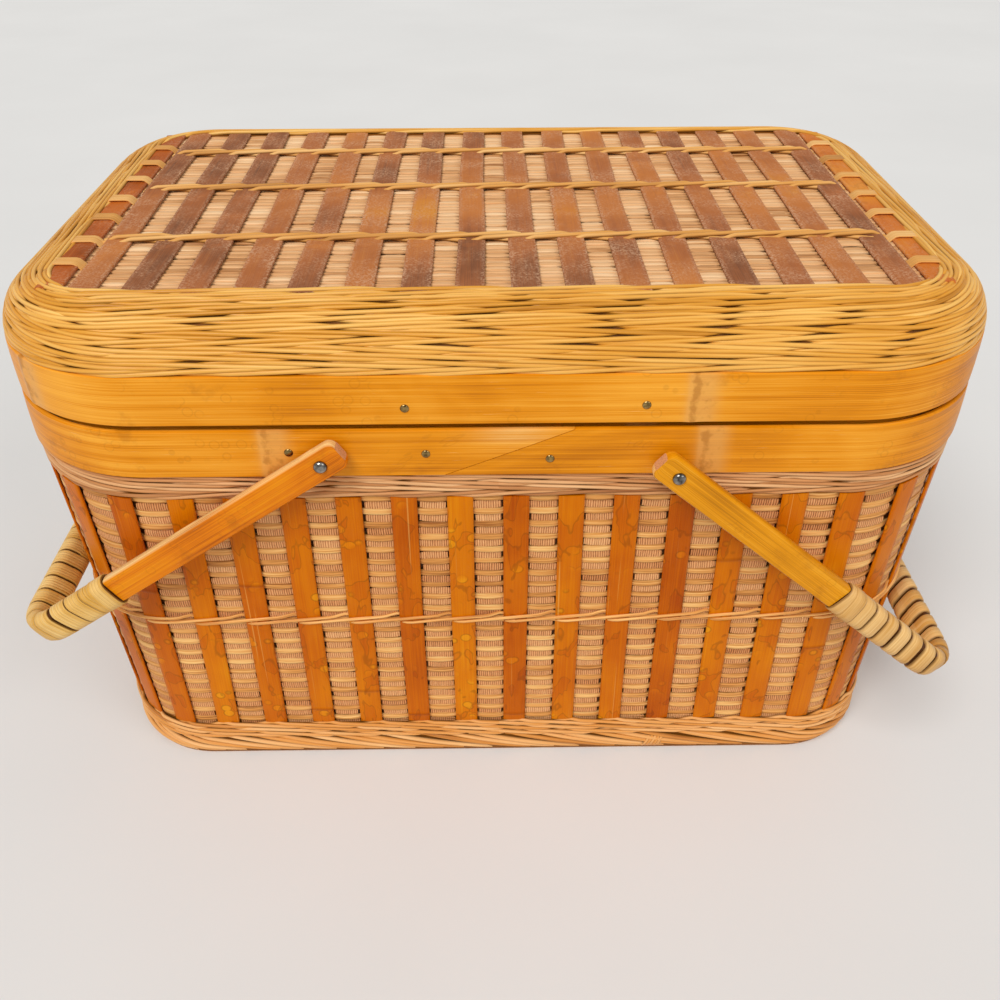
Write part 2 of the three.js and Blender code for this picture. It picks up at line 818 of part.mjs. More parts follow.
function lid() {
  const group = new THREE.Group();
  const block = panelBlock();
  const lidHoles = [...ringCutters(), ...lidNailHoles()];
  const lidHoop = hoopGeometry(0, lidHoopBottom, lidHoopTop);
  const lidInnerHoop = hoopGeometry(innerHoopOuter, lidHoopBottom, lidHoopTop);
  const scarf = scarfCutter(lidHoopBottom, 1);
  group.add(piece("lid_panel", lidPanelGeometry(), paleCane));
  group.add(piece("lid_border", lidBorderGeometry(), honeyCane));
  group.add(piece("lid_outer_hoop", cut(lidHoop, [scarf, ...lidHoles]), amberBamboo));
  group.add(piece("lid_inner_hoop", cut(lidInnerHoop, lidHoles), amberBamboo));
  lidSlatPlaces().forEach((place, i) => {
    const name = "lid_slat_" + String(i + 1).padStart(2, "0");
    group.add(piece(name, lidSlatGeometry(place, block), weatheredSlat));
  });
  for (const [where, y] of Object.entries(lidTwineRows)) {
    group.add(piece("lid_twine_" + where, lidTwineGeometry(y, block), honeyCane));
  }
  group.add(...nails("lid", lidNailPlaces));
  return group;
}

// A handle hanging at rest. side is -1 for the left end and 1 for the right.
function handleGroup(name, handle, side) {
  const swing = new THREE.Group();
  swing.position.set(side * handle.pivotX, 0, handle.pivotZ);
  swing.rotation.y = side * restAngle(handle);
  const facing = new THREE.Group();
  facing.rotation.z = side < 0 ? Math.PI : 0;
  facing.add(piece(name + "_bow", bowGeometry(handle), amberBamboo));
  facing.add(piece(name + "_wrap", wrapGeometry(handle, name + "_wrap"), caneWrap));
  swing.add(facing);
  return swing;
}

const picnicBasket = new THREE.Group();
picnicBasket.add(basket());
picnicBasket.add(lid());
picnicBasket.add(handleGroup("left_handle", leftHandle, -1));
picnicBasket.add(handleGroup("right_handle", rightHandle, 1));

export default picnicBasket;
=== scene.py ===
import json
import math

import bmesh
import bpy
import numpy as np
from mathutils import Matrix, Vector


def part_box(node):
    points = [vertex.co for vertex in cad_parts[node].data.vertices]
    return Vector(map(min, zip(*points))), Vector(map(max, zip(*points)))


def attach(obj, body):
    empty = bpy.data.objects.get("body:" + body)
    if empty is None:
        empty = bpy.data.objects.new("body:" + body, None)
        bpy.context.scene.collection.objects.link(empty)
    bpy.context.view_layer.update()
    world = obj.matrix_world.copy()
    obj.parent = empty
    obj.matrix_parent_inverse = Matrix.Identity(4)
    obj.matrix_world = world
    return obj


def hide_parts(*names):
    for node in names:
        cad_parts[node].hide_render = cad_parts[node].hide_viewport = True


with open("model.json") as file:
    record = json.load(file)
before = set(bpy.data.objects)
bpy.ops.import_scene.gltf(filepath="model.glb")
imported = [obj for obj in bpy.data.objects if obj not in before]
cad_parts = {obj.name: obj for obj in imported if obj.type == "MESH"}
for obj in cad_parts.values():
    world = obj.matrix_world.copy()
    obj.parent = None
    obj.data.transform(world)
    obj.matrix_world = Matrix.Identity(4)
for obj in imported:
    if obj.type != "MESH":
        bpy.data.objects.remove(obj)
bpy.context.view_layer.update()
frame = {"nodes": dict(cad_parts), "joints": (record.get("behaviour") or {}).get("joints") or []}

# A picnic basket of woven cane, with bamboo hoops, a lid hinged at the back and two swinging handles.
# Lengths are in millimetres until Skin.piece turns them into metres. The front is at -Y and Z is up.

METRES = 0.001
RANDOM = np.random.default_rng(11)


def corners(node):
    """The lowest and highest corner of a solid, in millimetres."""
    return [np.array(corner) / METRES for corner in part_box(node)]


def heights(node):
    low, high = corners(node)
    return low[2], high[2]


# Sizes taken from the solids
RIM_HALF_LENGTH, RIM_HALF_DEPTH, _ = corners("body_outer_hoop")[1]
BODY_HOOP_LOW = heights("body_outer_hoop")[0]
LID_HOOP_LOW, LID_HOOP_TOP = heights("lid_outer_hoop")
WALL_HALF_LENGTH, WALL_HALF_DEPTH, WALL_TOP = corners("body_wall")[1]
WALL_LOW = heights("body_wall")[0]
SLAT_LOW, SLAT_TOP = heights("wall_slats")
FOOT_TOP = heights("foot_border")[1]
COLLAR_LOW, COLLAR_TOP = heights("collar_weave")
BASE_LOW = heights("base_panel")[0]
SHOULDER_LOW = heights("lid_border")[0]
PANEL_TOP = heights("lid_panel")[1]
LID_SLAT_LOW, LID_SLAT_TOP = heights("lid_slat_05")

# Shape of the rims and the tapered wall, as in the solids
RIM_CORNER = 72
WALL_INSET = RIM_HALF_LENGTH - WALL_HALF_LENGTH
TAPER_TOP = BODY_HOOP_LOW - 2
END_TAPER = 12
SIDE_TAPER = 19
CORNER_TAPER = 22
BORDER_WIDTH = 31
BORDER_HEIGHT = 27
PANEL_CORNER = 24
HOOP_THICKNESS = 3
INNER_FACE = -6
SCARF_POSITION = 4.5
SCARF_LEAN = 59 / 24

# Weave of the wall
SLAT_COUNT = 50
FIRST_SLAT = 8.4
SLAT_WIDTH = 12.2
SLAT_THICKNESS = 1.4
SLAT_STANDOFF = 0.4
TWINE_HEIGHT = 114
TWINE_OUT = 0.3
ROW_PITCH = 8.2
WALL_ROWS = np.arange(WALL_LOW + 2, WALL_TOP - 2, ROW_PITCH)
OPEN_LOW, OPEN_TOP = 22, 200
SPLINT_WIDTH = 3.7
LINING_PITCH = 3.4
LINING_STEPS = 240
SHEET_PITCH, SHEET_WIDTH = 8.2, 7.4
STAKE_PITCH, STAKE_WIDTH = 17, 12

# Foot border
PLAIT_STRANDS = 84
PLAIT_LENGTH = 66
PLAIT_TOP = 15.4
PLAIT_DROP = 13.6
LASHING_POSITION = 83
LASHING_STRANDS = 5

# Lid
LID_SLAT_COUNT = 18
LID_SLAT_PITCH = 24
EDGE_SLAT_TRIM = 1.8
EDGE_SLAT_TUCK = 3.0
EDGE_LOOP_REACH = 87
EDGE_LOOP_PITCH = 29
LID_TWINE_ROWS = (-56.6, 15.1, 76.6)
BORDER_PAIRS = 13

# Handles
ARM_THICKNESS = 6
ARM_WIDTH = 14.5
ARM_END = 11
ARM_END_ROUND = 3.5
BOW_BEND = 22
BOW_STEP = 6.0
LOWER_EDGE, UPPER_EDGE = [1, 2], [9, 10]
SNUG_LOOPS = 3
SNUG_PITCH = 1.06
WRAP_STEPS = 32
WRAP_CORNER = 2.6
WRAP_CROWN = 0.5
WRAP_LAP = 0.3
WRAP_CLEARANCE = 0.25
FINE_GROOVE = 0.3
HANDLES = {
    "left": {"side": -1, "wrap_start": 128, "pitch": 10.4, "width": 9.3, "ridges": 5},
    "right": {"side": 1, "wrap_start": 112, "pitch": 9.8, "width": 8.3, "ridges": 1},
}


# Outlines: rounded rectangles, followed from the middle of the front towards +X
HEADINGS = np.array([(1, 0), (0, 1), (-1, 0), (0, -1)])
NORMALS = np.array([(0, -1), (1, 0), (0, 1), (-1, 0)])


def outline_length(size):
    half_length, half_depth, corner = size
    return 4 * (half_length + half_depth - 2 * corner) + 2 * math.pi * corner


def spots(distance, size):
    """Side, share along its straight and corner angle of distances round an outline."""
    half_length, half_depth, corner = size
    straights = 2 * (np.array([half_length, half_depth] * 2) - corner)
    ends = np.cumsum(straights + corner * math.pi / 2)
    left = (np.asarray(distance, float) + straights[0] / 2) % ends[-1]
    side = np.searchsorted(ends, left, side="right") % 4
    left = left - np.concatenate(([0], ends[:-1]))[side]
    along = np.minimum(left / straights[side], 1) - 0.5
    angle = np.maximum(left - straights[side], 0) / corner
    return side, along, angle


def place(spot, size, z):
    """Points at those spots of an outline of another size, and the way they face."""
    side, along, angle = spot
    half_length, half_depth, corner = size
    lengthwise = side % 2 == 0
    straight = 2 * (np.where(lengthwise, half_length, half_depth) - corner)
    reach = np.where(lengthwise, half_depth, half_length)
    heading, normal = HEADINGS[side], NORMALS[side]
    facing = normal * np.cos(angle)[..., None] + heading * np.sin(angle)[..., None]
    flat = heading * (along * straight)[..., None] + normal * (reach - corner)[..., None]
    flat = flat + facing * np.broadcast_to(corner, side.shape)[..., None]
    level = np.broadcast_to(z, side.shape)[..., None]
    return np.concatenate([flat, level], -1), np.concatenate([facing, 0 * level], -1)


def outline_reach(size, y):
    """How far an outline reaches along X at a distance from its middle line."""
    half_length, half_depth, corner = size
    beyond = np.clip(np.abs(y) - (half_depth - corner), 0, corner)
    return half_length - corner + math.sqrt(corner**2 - beyond**2)


def wall_size(z, out):
    drop = np.maximum(TAPER_TOP - z, 0) / TAPER_TOP
    return (
        WALL_HALF_LENGTH - END_TAPER * drop + out,
        WALL_HALF_DEPTH - SIDE_TAPER * drop + out,
        RIM_CORNER - WALL_INSET - CORNER_TAPER * drop + out,
    )


def rim_size(offset):
    """The rim's outline, grown by an offset. Its corner tightens over the shoulder."""
    beyond = np.maximum(-WALL_INSET - offset, 0)
    tightening = (RIM_CORNER - WALL_INSET - PANEL_CORNER) / (BORDER_WIDTH - WALL_INSET)
    corner = RIM_CORNER + np.maximum(offset, -WALL_INSET) - beyond * tightening
    return RIM_HALF_LENGTH + offset, RIM_HALF_DEPTH + offset, corner


WALL_REFERENCE = wall_size(TWINE_HEIGHT, TWINE_OUT)
WALL_ROUND = outline_length(WALL_REFERENCE)
SLAT_PITCH = WALL_ROUND / SLAT_COUNT
RIM_REFERENCE = rim_size(0.0)
RIM_ROUND = outline_length(RIM_REFERENCE)
PANEL_SIZE = rim_size(-BORDER_WIDTH + 5.0)


def wall_at(distance, z, out):
    """Points on the wall. A spot stays on one straight line up the taper."""
    return place(spots(distance, WALL_REFERENCE), wall_size(z, out), z)


def shoulder_at(distance, angle, inset):
    """Points on the lid's rounded shoulder: angle 0 at the hoop, 90 degrees at the panel."""
    offset = -BORDER_WIDTH + (BORDER_WIDTH - inset) * np.cos(angle)
    z = SHOULDER_LOW + (BORDER_HEIGHT - inset) * np.sin(angle)
    points, flat = place(spots(distance, RIM_REFERENCE), rim_size(offset), z)
    rise = np.broadcast_to(np.sin(angle), points.shape[:-1])[..., None]
    facing = flat * np.sqrt(1 - rise**2) + np.array([0, 0, 1]) * rise
    return points, facing


# Curves
def shares(steps):
    """Even shares of one round."""
    return np.arange(steps) / steps


def unit(vectors):
    return vectors / np.linalg.norm(vectors, axis=-1, keepdims=True)


def running_length(points):
    steps = np.linalg.norm(np.roll(points, -1, 0) - points, axis=1)
    return np.concatenate(([0], np.cumsum(steps)))


def smooth(low, high, value):
    share = np.clip((value - low) / (high - low), 0, 1)
    return share * share * (3 - 2 * share)


def bell(value, width):
    return np.exp(-((value / width) ** 2))


def waves(share):
    """A slow random wave about zero that closes after one round."""
    parts = [(RANDOM.integers(2, 12), RANDOM.random()) for _ in range(3)]
    return sum(np.sin(2 * math.pi * (rate * share + start)) for rate, start in parts) / 3


def vary(amount, count=None):
    return RANDOM.normal(0, amount, count)


def ripple(line, length):
    """An even wave along a line, from a random start."""
    return np.sin(line / length + RANDOM.uniform(0, 6))


# Sections, as across and outward distances
def oval(width, thickness, sides=6):
    angle = (np.arange(sides) + 0.5) / sides * 2 * math.pi
    return np.stack([width / 2 * np.cos(angle), thickness / 2 * np.sin(angle)], -1)


def mirrored(right):
    return np.array(right + [(-across, out) for across, out in reversed(right)])


def slab(width, thickness, edge, crown=0.0):
    """A flat strip standing on its back, with rounded edges and a slightly domed face."""
    half = width / 2
    side = [(half - edge, 0), (half, edge), (half, thickness - edge), (half - edge * 0.7, thickness)]
    face = [(half * share, thickness + crown * (1 - share**2)) for share in (0.66, 0.33)]
    return mirrored(side + face)


def splint_section(width, thickness, crown):
    """A lighter section than a slab, for the many splints of a weave."""
    half = width / 2
    shoulder = half - 0.3 * thickness
    return mirrored(
        [(half, 0), (half, 0.7 * thickness), (shoulder, thickness), (0.4 * half, thickness + crown)]
    )


def crevice_shade(section):
    """Marks the sides of a strand that face its neighbours and the wall, where painted shade darkens them.
    """
    outward = section[:, 1]
    return np.clip(0.6 - 0.85 * outward / outward.max(), 0, 1)[None]


# Meshes
def show(name, data):
    obj = bpy.data.objects.new(name, data)
    bpy.context.scene.collection.objects.link(obj)
    return obj


class Skin:
    """Gathers lofted strips into one mesh. UVs are millimetres along and around each strip."""

    def __init__(self):
        self.points, self.faces, self.uvs, self.looks = [], [], [], []
        self.values = {"tone": [], "mark": [], "seed": []}
        self.count = 0

    def loft(self, rows, ring=False, tone=0.0, mark=0.0, look=0, end_look=None):
        """Skins closed sections in order. A ring joins its last section to its first."""
        rows = np.asarray(rows, float)
        n, m = rows.shape[:2]
        ids = self.count + np.arange(n * m).reshape(n, m)
        links = n if ring else n - 1
        near, far = ids[:links], np.roll(ids, -1, 0)[:links]
        quads = np.stack([near, far, np.roll(far, -1, 1), np.roll(near, -1, 1)], -1)
        along, around = running_length(rows.mean(1)), running_length(rows[n // 2])
        start, end = along[:links], along[1 : links + 1]
        u = np.stack([start, end, end, start], -1)[:, None]
        v = np.stack([around[:-1], around[:-1], around[1:], around[1:]], -1)[None]
        self.faces += quads.reshape(-1, 4).tolist()
        self.looks += [look] * (links * m)
        self.uvs.append(np.stack(np.broadcast_arrays(u, v), -1).reshape(-1, 2))
        if not ring:
            for cap in (0, n - 1):
                self.faces.append(ids[cap].tolist())
                self.uvs.append(np.stack([np.full(m, along[cap]), around[:-1]], -1))
            self.looks += [look if end_look is None else end_look] * 2
        for store, value in zip(self.values.values(), (tone, mark, len(self.points))):
            value = np.asarray(value, float)
            value = value[:, None] if value.ndim == 1 else value
            store.append(np.broadcast_to(value, (n, m)).ravel())
        self.points.append(rows.reshape(-1, 3))
        self.count += n * m

    def sweep(self, path, facing, section, ring=False, taper=1.0, **looks):
        """Runs a section along a path whose outer side faces that way."""
        ahead = np.roll(path, -1, 0) - np.roll(path, 1, 0) if ring else np.gradient(path, axis=0)
        across = unit(np.cross(ahead, facing))
        out = unit(np.cross(across, ahead))
        wide = np.broadcast_to(taper, len(path))[:, None] * section[None, :, 0]
        rows = path[:, None] + across[:, None] * wide[..., None] + out[:, None] * section[None, :, 1, None]
        self.loft(rows, ring, **looks)

    def lay(self, x, y, z, section, **looks):
        """Sweeps along a line with the outer side up."""
        path = np.stack(np.broadcast_arrays(x, y, z), -1)
        self.sweep(path, np.tile((0, 0, 1.0), (len(path), 1)), section, **looks)

    def piece(self, name, body, slot, looks, *nodes, sharp=75):
        """Makes the object in metres, on its body and in place of its solids."""
        mesh = bpy.data.meshes.new(name)
        mesh.from_pydata((np.concatenate(self.points) * METRES).tolist(), [], self.faces)
        layer = mesh.uv_layers.new(name="fibre")
        layer.data.foreach_set("uv", np.concatenate(self.uvs).astype(np.float32).ravel())
        for label, values in self.values.items():
            attribute = mesh.attributes.new(label, "FLOAT", "POINT")
            attribute.data.foreach_set("value", np.concatenate(values).astype(np.float32))
        for look in looks:
            mesh.materials.append(look)
        mesh.polygons.foreach_set("material_index", np.array(self.looks, np.int32))
        mesh.polygons.foreach_set("use_smooth", np.ones(len(self.faces), bool))
        shape = bmesh.new()
        shape.from_mesh(mesh)
        bmesh.ops.recalc_face_normals(shape, faces=shape.faces)
        shape.to_mesh(mesh)
        shape.free()
        mesh.set_sharp_from_angle(angle=math.radians(sharp))
        obj = show(name, mesh)
        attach(obj, body)
        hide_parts(*nodes)


# Materials
# Brown of the painted shade that cane gets where its mark is above zero: crevices, grooves and splint edges
PAINTED_SHADE_BROWN = 0x6A4214
TIDE_BROWN = 0x5E2A04
SPLIT_PALE = 0xE8AC58
RIDGE_BROWN = 0x7A2E00
DUST = 0xD6A884
DROP_BROWN = 0x8A4A04
NODE_PALE = 0xE0A65C
NODE_BROWN = 0xA05E16
BARE_EDGE = 0xF0C884
SCRATCH_PALE = 0xF6D79C
GRIME = 0x9A5408


def shade(code):
    """A colour as it looks, turned into the shader's linear values."""
    parts = [(code >> shift & 255) / 255 for shift in (16, 8, 0)]
    linear = [p / 12.92 if p <= 0.04045 else ((p + 0.055) / 1.055) ** 2.4 for p in parts]
    return (*linear, 1)


class Look:
    """A material made of nodes on one Principled shader."""

    def __init__(self, name, settings):
        self.material = bpy.data.materials.new(name)
        self.material.use_nodes = True
        self.tree = self.material.node_tree
        self.shader = self.tree.nodes["Principled BSDF"]
        for socket, value in settings.items():
            self.shader.inputs[socket].default_value = value

    def add(self, kind, inputs, **settings):
        node = self.tree.nodes.new(kind)
        for key, value in settings.items():
            setattr(node, key, value)
        for key, value in inputs.items():
            if isinstance(value, bpy.types.NodeSocket):
                self.tree.links.new(value, node.inputs[key])
            else:
                node.inputs[key].default_value = value
        return node

    def to_shader(self, socket, value):
        self.tree.links.new(value, self.shader.inputs[socket])

    def attribute(self, name):
        return self.add("ShaderNodeAttribute", {}, attribute_name=name).outputs["Fac"]

    def math(self, operation, a, b, clamp=False):
        return self.add("ShaderNodeMath", {0: a, 1: b}, operation=operation, use_clamp=clamp).outputs[0]

    def times(self, a, b, clamp=False):
        return self.math("MULTIPLY", a, b, clamp)

    def centred(self, value):
        return self.math("SUBTRACT", value, 0.5)

    def weigh(self, noises, tone, *others):
        """Noises about their middle, each strip's tone and other values, weighted about one half."""
        pairs = [(self.centred(noise), weight) for noise, weight in noises]
        pairs += [(self.attribute("tone"), tone), *others]
        parts = [self.times(value, weight) for value, weight in pairs]
        total = parts[0]
        for part in parts[1:]:
            total = self.math("ADD", total, part)
        return self.math("ADD", total, 0.5, clamp=True)

    def fibre(self, along, across):
        """Coordinates that run along each strip, different on each strip."""
        flat = self.add("ShaderNodeTexCoord", {}).outputs["UV"]
        shift = self.times(self.attribute("seed"), 3.7)
        inputs = {0: flat, 1: (along, across, 0), 2: shift}
        return self.add("ShaderNodeVectorMath", inputs, operation="MULTIPLY_ADD").outputs[0]

    def body(self):
        return self.add("ShaderNodeTexCoord", {}).outputs["Object"]

    def noise(self, vector, scale, detail, roughness=0.55, distortion=0.0):
        inputs = {"Vector": vector, "Scale": scale, "Detail": detail, "Roughness": roughness}
        inputs["Distortion"] = distortion
        return self.add("ShaderNodeTexNoise", inputs).outputs["Fac"]

    def grain(self, along, across, detail, **settings):
        return self.noise(self.fibre(along, across), 1.0, detail, **settings)

    def cloud(self, scale, detail, **settings):
        return self.noise(self.body(), scale, detail, **settings)

    def cells(self, vector, scale=1.0):
        return self.add("ShaderNodeTexVoronoi", {"Vector": vector, "Scale": scale}).outputs["Distance"]

    def ramp(self, value, stops):
        node = self.add("ShaderNodeValToRGB", {"Fac": value})
        band = node.color_ramp
        while len(band.elements) < len(stops):
            band.elements.new(0.5)
        for element, (position, colour) in zip(band.elements, stops.items()):
            element.position = position
            element.color = shade(colour)
        return node.outputs["Color"]

    def step(self, value, low, high):
        inputs = {"Value": value, "From Min": low, "From Max": high}
        return self.add("ShaderNodeMapRange", inputs, interpolation_type="SMOOTHSTEP").outputs["Result"]

    def band(self, value, rise, fall):
        """1 between two soft steps, each from where it is 0 to where it is 1."""
        return self.times(self.step(value, *rise), self.step(value, *fall))

    def tint(self, base, factor, strength, colour):
        """Lays a colour over the base, as far as a factor times its strength."""
        amount = self.times(factor, strength, clamp=True)
        inputs = {0: amount, 6: base, 7: shade(colour)}
        return self.add("ShaderNodeMix", inputs, data_type="RGBA").outputs[2]

    def dried_drops(self, scale):
        """Round spots here and there, as water leaves them, and their rims."""
        away = self.cells(self.fibre(scale, scale))
        where = self.step(self.grain(0.03, 0.03, 1.0), 0.5, 0.6)
        disc = self.times(self.step(away, 0.34, 0.28), where)
        rim = self.times(self.band(away, (0.24, 0.3), (0.38, 0.32)), where)
        return disc, rim

    def roughen(self, value, share, least):
        self.to_shader("Roughness", self.math("ADD", self.times(value, share), least))

    def finish(self, colour, height, depth):
        """Sets the colour and a bump of that depth, and gives the material."""
        inputs = {"Height": height, "Distance": depth * METRES}
        self.to_shader("Base Color", colour)
        self.to_shader("Normal", self.add("ShaderNodeBump", inputs).outputs["Normal"])
        return self.material


def cane(name, stops, tone=0.15, streak=0.6, patch=0.5, gloss=0.5, across=1.1, depth=0.14, groove=0.75):
    """Split cane: fine streaks, broad patches and a tone for each strip."""
    look = Look(name, {"Specular IOR Level": 0.25})
    fine = look.grain(0.03, across, 4.0)
    broad = look.cloud(17.0, 2.0)
    base = look.ramp(look.weigh([(fine, streak), (broad, patch)], tone), stops)
    look.roughen(fine, 0.3, gloss - 0.15)
    # The mark attribute lays painted shade over the cane, as strong as groove, in crevices, grooves and at
    # strip edges.
    return look.finish(look.tint(base, look.attribute("mark"), groove, PAINTED_SHADE_BROWN), fine, depth)


def ticked_straw(name, stops):
    """Fine stakes that stand side by side between the smooth splints."""
    look = Look(name, {"Specular IOR Level": 0.2, "Roughness": 0.62})
    bands = {"Scale": 0.28, "Distortion": 3.0, "Detail": 2.0, "Detail Scale": 0.9}
    lines = look.add("ShaderNodeTexWave", {"Vector": look.fibre(1.0, 0.05), **bands}).outputs["Fac"]
    lines = look.math("POWER", lines, 0.5)
    broad = look.cloud(21.0, 2.0)
    fine = look.grain(1.2, 0.3, 3.0)
    value = look.weigh([(lines, 0.4), (broad, 0.4), (fine, 0.45)], 0.12)
    return look.finish(look.ramp(value, stops), lines, 0.4)


def stained(name, stops, coat, dust, marks, splits):
    """Stained bamboo slats with water marks, split lines, nodes and dust."""
    look = Look(name, {"Specular IOR Level": 0.06, "Coat Weight": coat, "Coat Roughness": 0.15})
    fine = look.grain(0.02, 1.6, 4.0)
    broad = look.grain(0.014, 0.03, 3.0)
    tide = look.grain(0.04, 0.08, 2.0, distortion=0.4)
    disc, rim = look.dried_drops(0.11)
    value = look.weigh(
        [(fine, 0.4 + 0.15 * marks), (broad, 0.6 + 0.5 * marks)], 0.2,
        (look.step(tide, 0.56, 0.6), -0.12 * marks), (disc, 0.3 * marks),
    )
    lines = look.math("MAXIMUM", look.band(tide, (0.545, 0.565), (0.59, 0.57)), rim)
    base = look.tint(look.ramp(value, stops), lines, 0.34 * marks, TIDE_BROWN)
    split = look.step(look.grain(0.008, 0.85, 1.0), 0.7, 0.76)
    base = look.tint(base, split, splits, SPLIT_PALE)
    mark = look.attribute("mark")
    base = look.tint(base, mark, 0.4, RIDGE_BROWN)
    specks = look.cloud(900.0, 5.0, roughness=0.7)
    film = look.step(look.cloud(45.0, 4.0, roughness=0.6), 0.35, 0.7)
    worn = look.times(mark, -1.0, clamp=True)
    powder = look.times(look.step(specks, 0.4, 0.68), look.math("ADD", film, worn))
    look.roughen(fine, 0.25, 0.24 + 0.35 * dust)
    return look.finish(look.tint(base, powder, dust, DUST), fine, 0.14)


def bamboo(name, stops, scratches=0.35):
    """Split bamboo: long fibres, pale edges, node rings, drops, scratches and grime."""
    look = Look(name, {"Specular IOR Level": 0.12, "Coat Weight": 0.1, "Coat Roughness": 0.14})
    fine = look.grain(0.012, 2.2, 4.0)
    bands = look.grain(0.006, 0.32, 2.0)
    zones = look.grain(0.011, 0.012, 3.0, distortion=0.5)
    base = look.ramp(look.weigh([(fine, 0.95), (bands, 0.7), (zones, 1.1)], 0.2), stops)
    base = look.tint(base, look.dried_drops(0.14)[1], 0.14, DROP_BROWN)
    mark = look.attribute("mark")
    base = look.tint(base, look.step(mark, 0.05, 0.5), 0.55, NODE_PALE)
    patches = look.times(look.centred(look.cloud(170.0, 5.0)), 2.0)
    line = look.step(look.math("ADD", mark, patches), 0.5, 0.95)
    base = look.tint(base, line, 0.5, NODE_BROWN)
    bare = look.times(mark, -1.0, clamp=True)
    base = look.tint(base, bare, look.step(fine, 0.3, 0.55), BARE_EDGE)
    worn = look.grain(0.05, 1.4, 5.0, roughness=0.7)
    base = look.tint(base, look.step(worn, 0.62, 0.74), scratches, SCRATCH_PALE)
    grime = look.cloud(30.0, 5.0, roughness=0.65)
    look.roughen(bands, 0.3, 0.26)
    return look.finish(look.tint(base, look.step(grime, 0.58, 0.7), 0.3, GRIME), fine, 0.12)


def end_grain(name):
    """The cut end of a bamboo strip: dark dots of fibre in a paler ground."""
    look = Look(name, {"Specular IOR Level": 0.2, "Roughness": 0.7})
    dots = look.cells(look.body(), 1500.0)
    return look.finish(look.ramp(dots, {0.1: 0x9C5E34, 0.45: 0xD89C6C}), dots, 0.1)


def metal(name, dark, light):
    look = Look(name, {"Metallic": 1.0})
    tarnish = look.cloud(420.0, 4.0)
    look.roughen(tarnish, 0.22, 0.08)
    return look.finish(look.ramp(tarnish, {0.3: dark, 0.7: light}), tarnish, 0.08)


STRAW = cane("straw", {0.1: 0x9C5C22, 0.45: 0xDC974C, 0.85: 0xF8C67C}, streak=1.5)
TICKED = ticked_straw("ticked_straw", {0.1: 0x864818, 0.45: 0xDA9058, 0.85: 0xF6BA7E})
LID_STRAW = cane("lid_straw", {0.1: 0x9C602C, 0.45: 0xDEA66E, 0.85: 0xF6D2A4}, streak=0.9, across=1.4)
HONEY = cane(
    "honey_cane", {0.05: 0x9A5A0C, 0.4: 0xDC9832, 0.85: 0xFACA72},
    tone=0.12, streak=0.45, patch=0.35, gloss=0.36, groove=0.85,
)
FOOT_CANE = cane("foot_cane", {0.05: 0x965018, 0.4: 0xDE9444, 0.85: 0xF8C688}, gloss=0.42)
TAN = cane("tan_cane", {0.05: 0x844A20, 0.45: 0xCA8A52, 0.85: 0xE8B680})
PALE = cane("pale_cane", {0.05: 0xA2682C, 0.45: 0xE0A050, 0.85: 0xF8CC88})
# Dark cane colours for sheets and strips that stand where only shade is seen: behind the weave, in gaps and
# under the wrap
SHADOW = cane("shaded_cane", {0.1: 0x2E1606, 0.9: 0x66380E}, depth=0.3)
BACKING_SHADE = cane("shaded_backing_cane", {0.1: 0x5C300A, 0.9: 0xA4661C}, depth=0.3)
WRAP = cane("wrap_cane", {0.05: 0x805018, 0.45: 0xCA9244, 0.85: 0xF0C888}, patch=0.8, gloss=0.42)
AGED_WRAP = cane(
    "aged_wrap_cane", {0.02: 0x7E5216, 0.35: 0xD29C40, 0.8: 0xF6D48E},
    patch=0.9, gloss=0.42, groove=0.9,
)
STAINED = stained(
    "stained_slat", {0.05: 0xA84600, 0.4: 0xC66200, 0.75: 0xD87A00, 0.95: 0xE4920C},
    coat=0.04, dust=0.02, marks=1.0, splits=0.4,
)
WEATHERED = stained(
    "weathered_slat", {0.05: 0x6C4632, 0.35: 0xA8643A, 0.7: 0xC4783C, 0.95: 0xD68C2C},
    coat=0.02, dust=0.7, marks=0.2, splits=0.15,
)
RUSSET = stained(
    "russet_slat", {0.05: 0x8A4214, 0.35: 0xB45A20, 0.7: 0xCE7224, 0.95: 0xDC8C34},
    coat=0.04, dust=0.35, marks=0.4, splits=0.2,
)
AMBER = bamboo("amber_bamboo", {0.05: 0xAE6000, 0.45: 0xE08A08, 0.85: 0xF6AC38})
ORANGE = bamboo("orange_bamboo", {0.05: 0x984400, 0.45: 0xDA7600, 0.85: 0xEE9A08}, 0.26)
GOLDEN = bamboo("golden_bamboo", {0.05: 0xA05E00, 0.45: 0xE09206, 0.85: 0xF4B43A}, 0.25)
END_GRAIN = end_grain("bamboo_end_grain")
STEEL = metal("steel", 0x3C3834, 0xA8A49E)
BRASS = metal("dark_brass", 0x4A3820, 0xB89A60)


# Body: woven wall
def weave_bulge(distance):
    """0 behind each slat and 1 between slats."""
    share = ((distance - FIRST_SLAT) / SLAT_PITCH) % 1
    return smooth(0.14, 0.36, np.minimum(share, 1 - share))


def in_open_weave(z):
    return float(OPEN_LOW < z < OPEN_TOP)


def gap_noise(distance, amount):
    """A random value for each gap between slats, blended from gap to gap."""
    values = vary(amount, SLAT_COUNT)
    middles = (np.arange(SLAT_COUNT) + 0.5) * SLAT_PITCH
    return np.interp((distance - FIRST_SLAT) % WALL_ROUND, middles, values, period=WALL_ROUND)


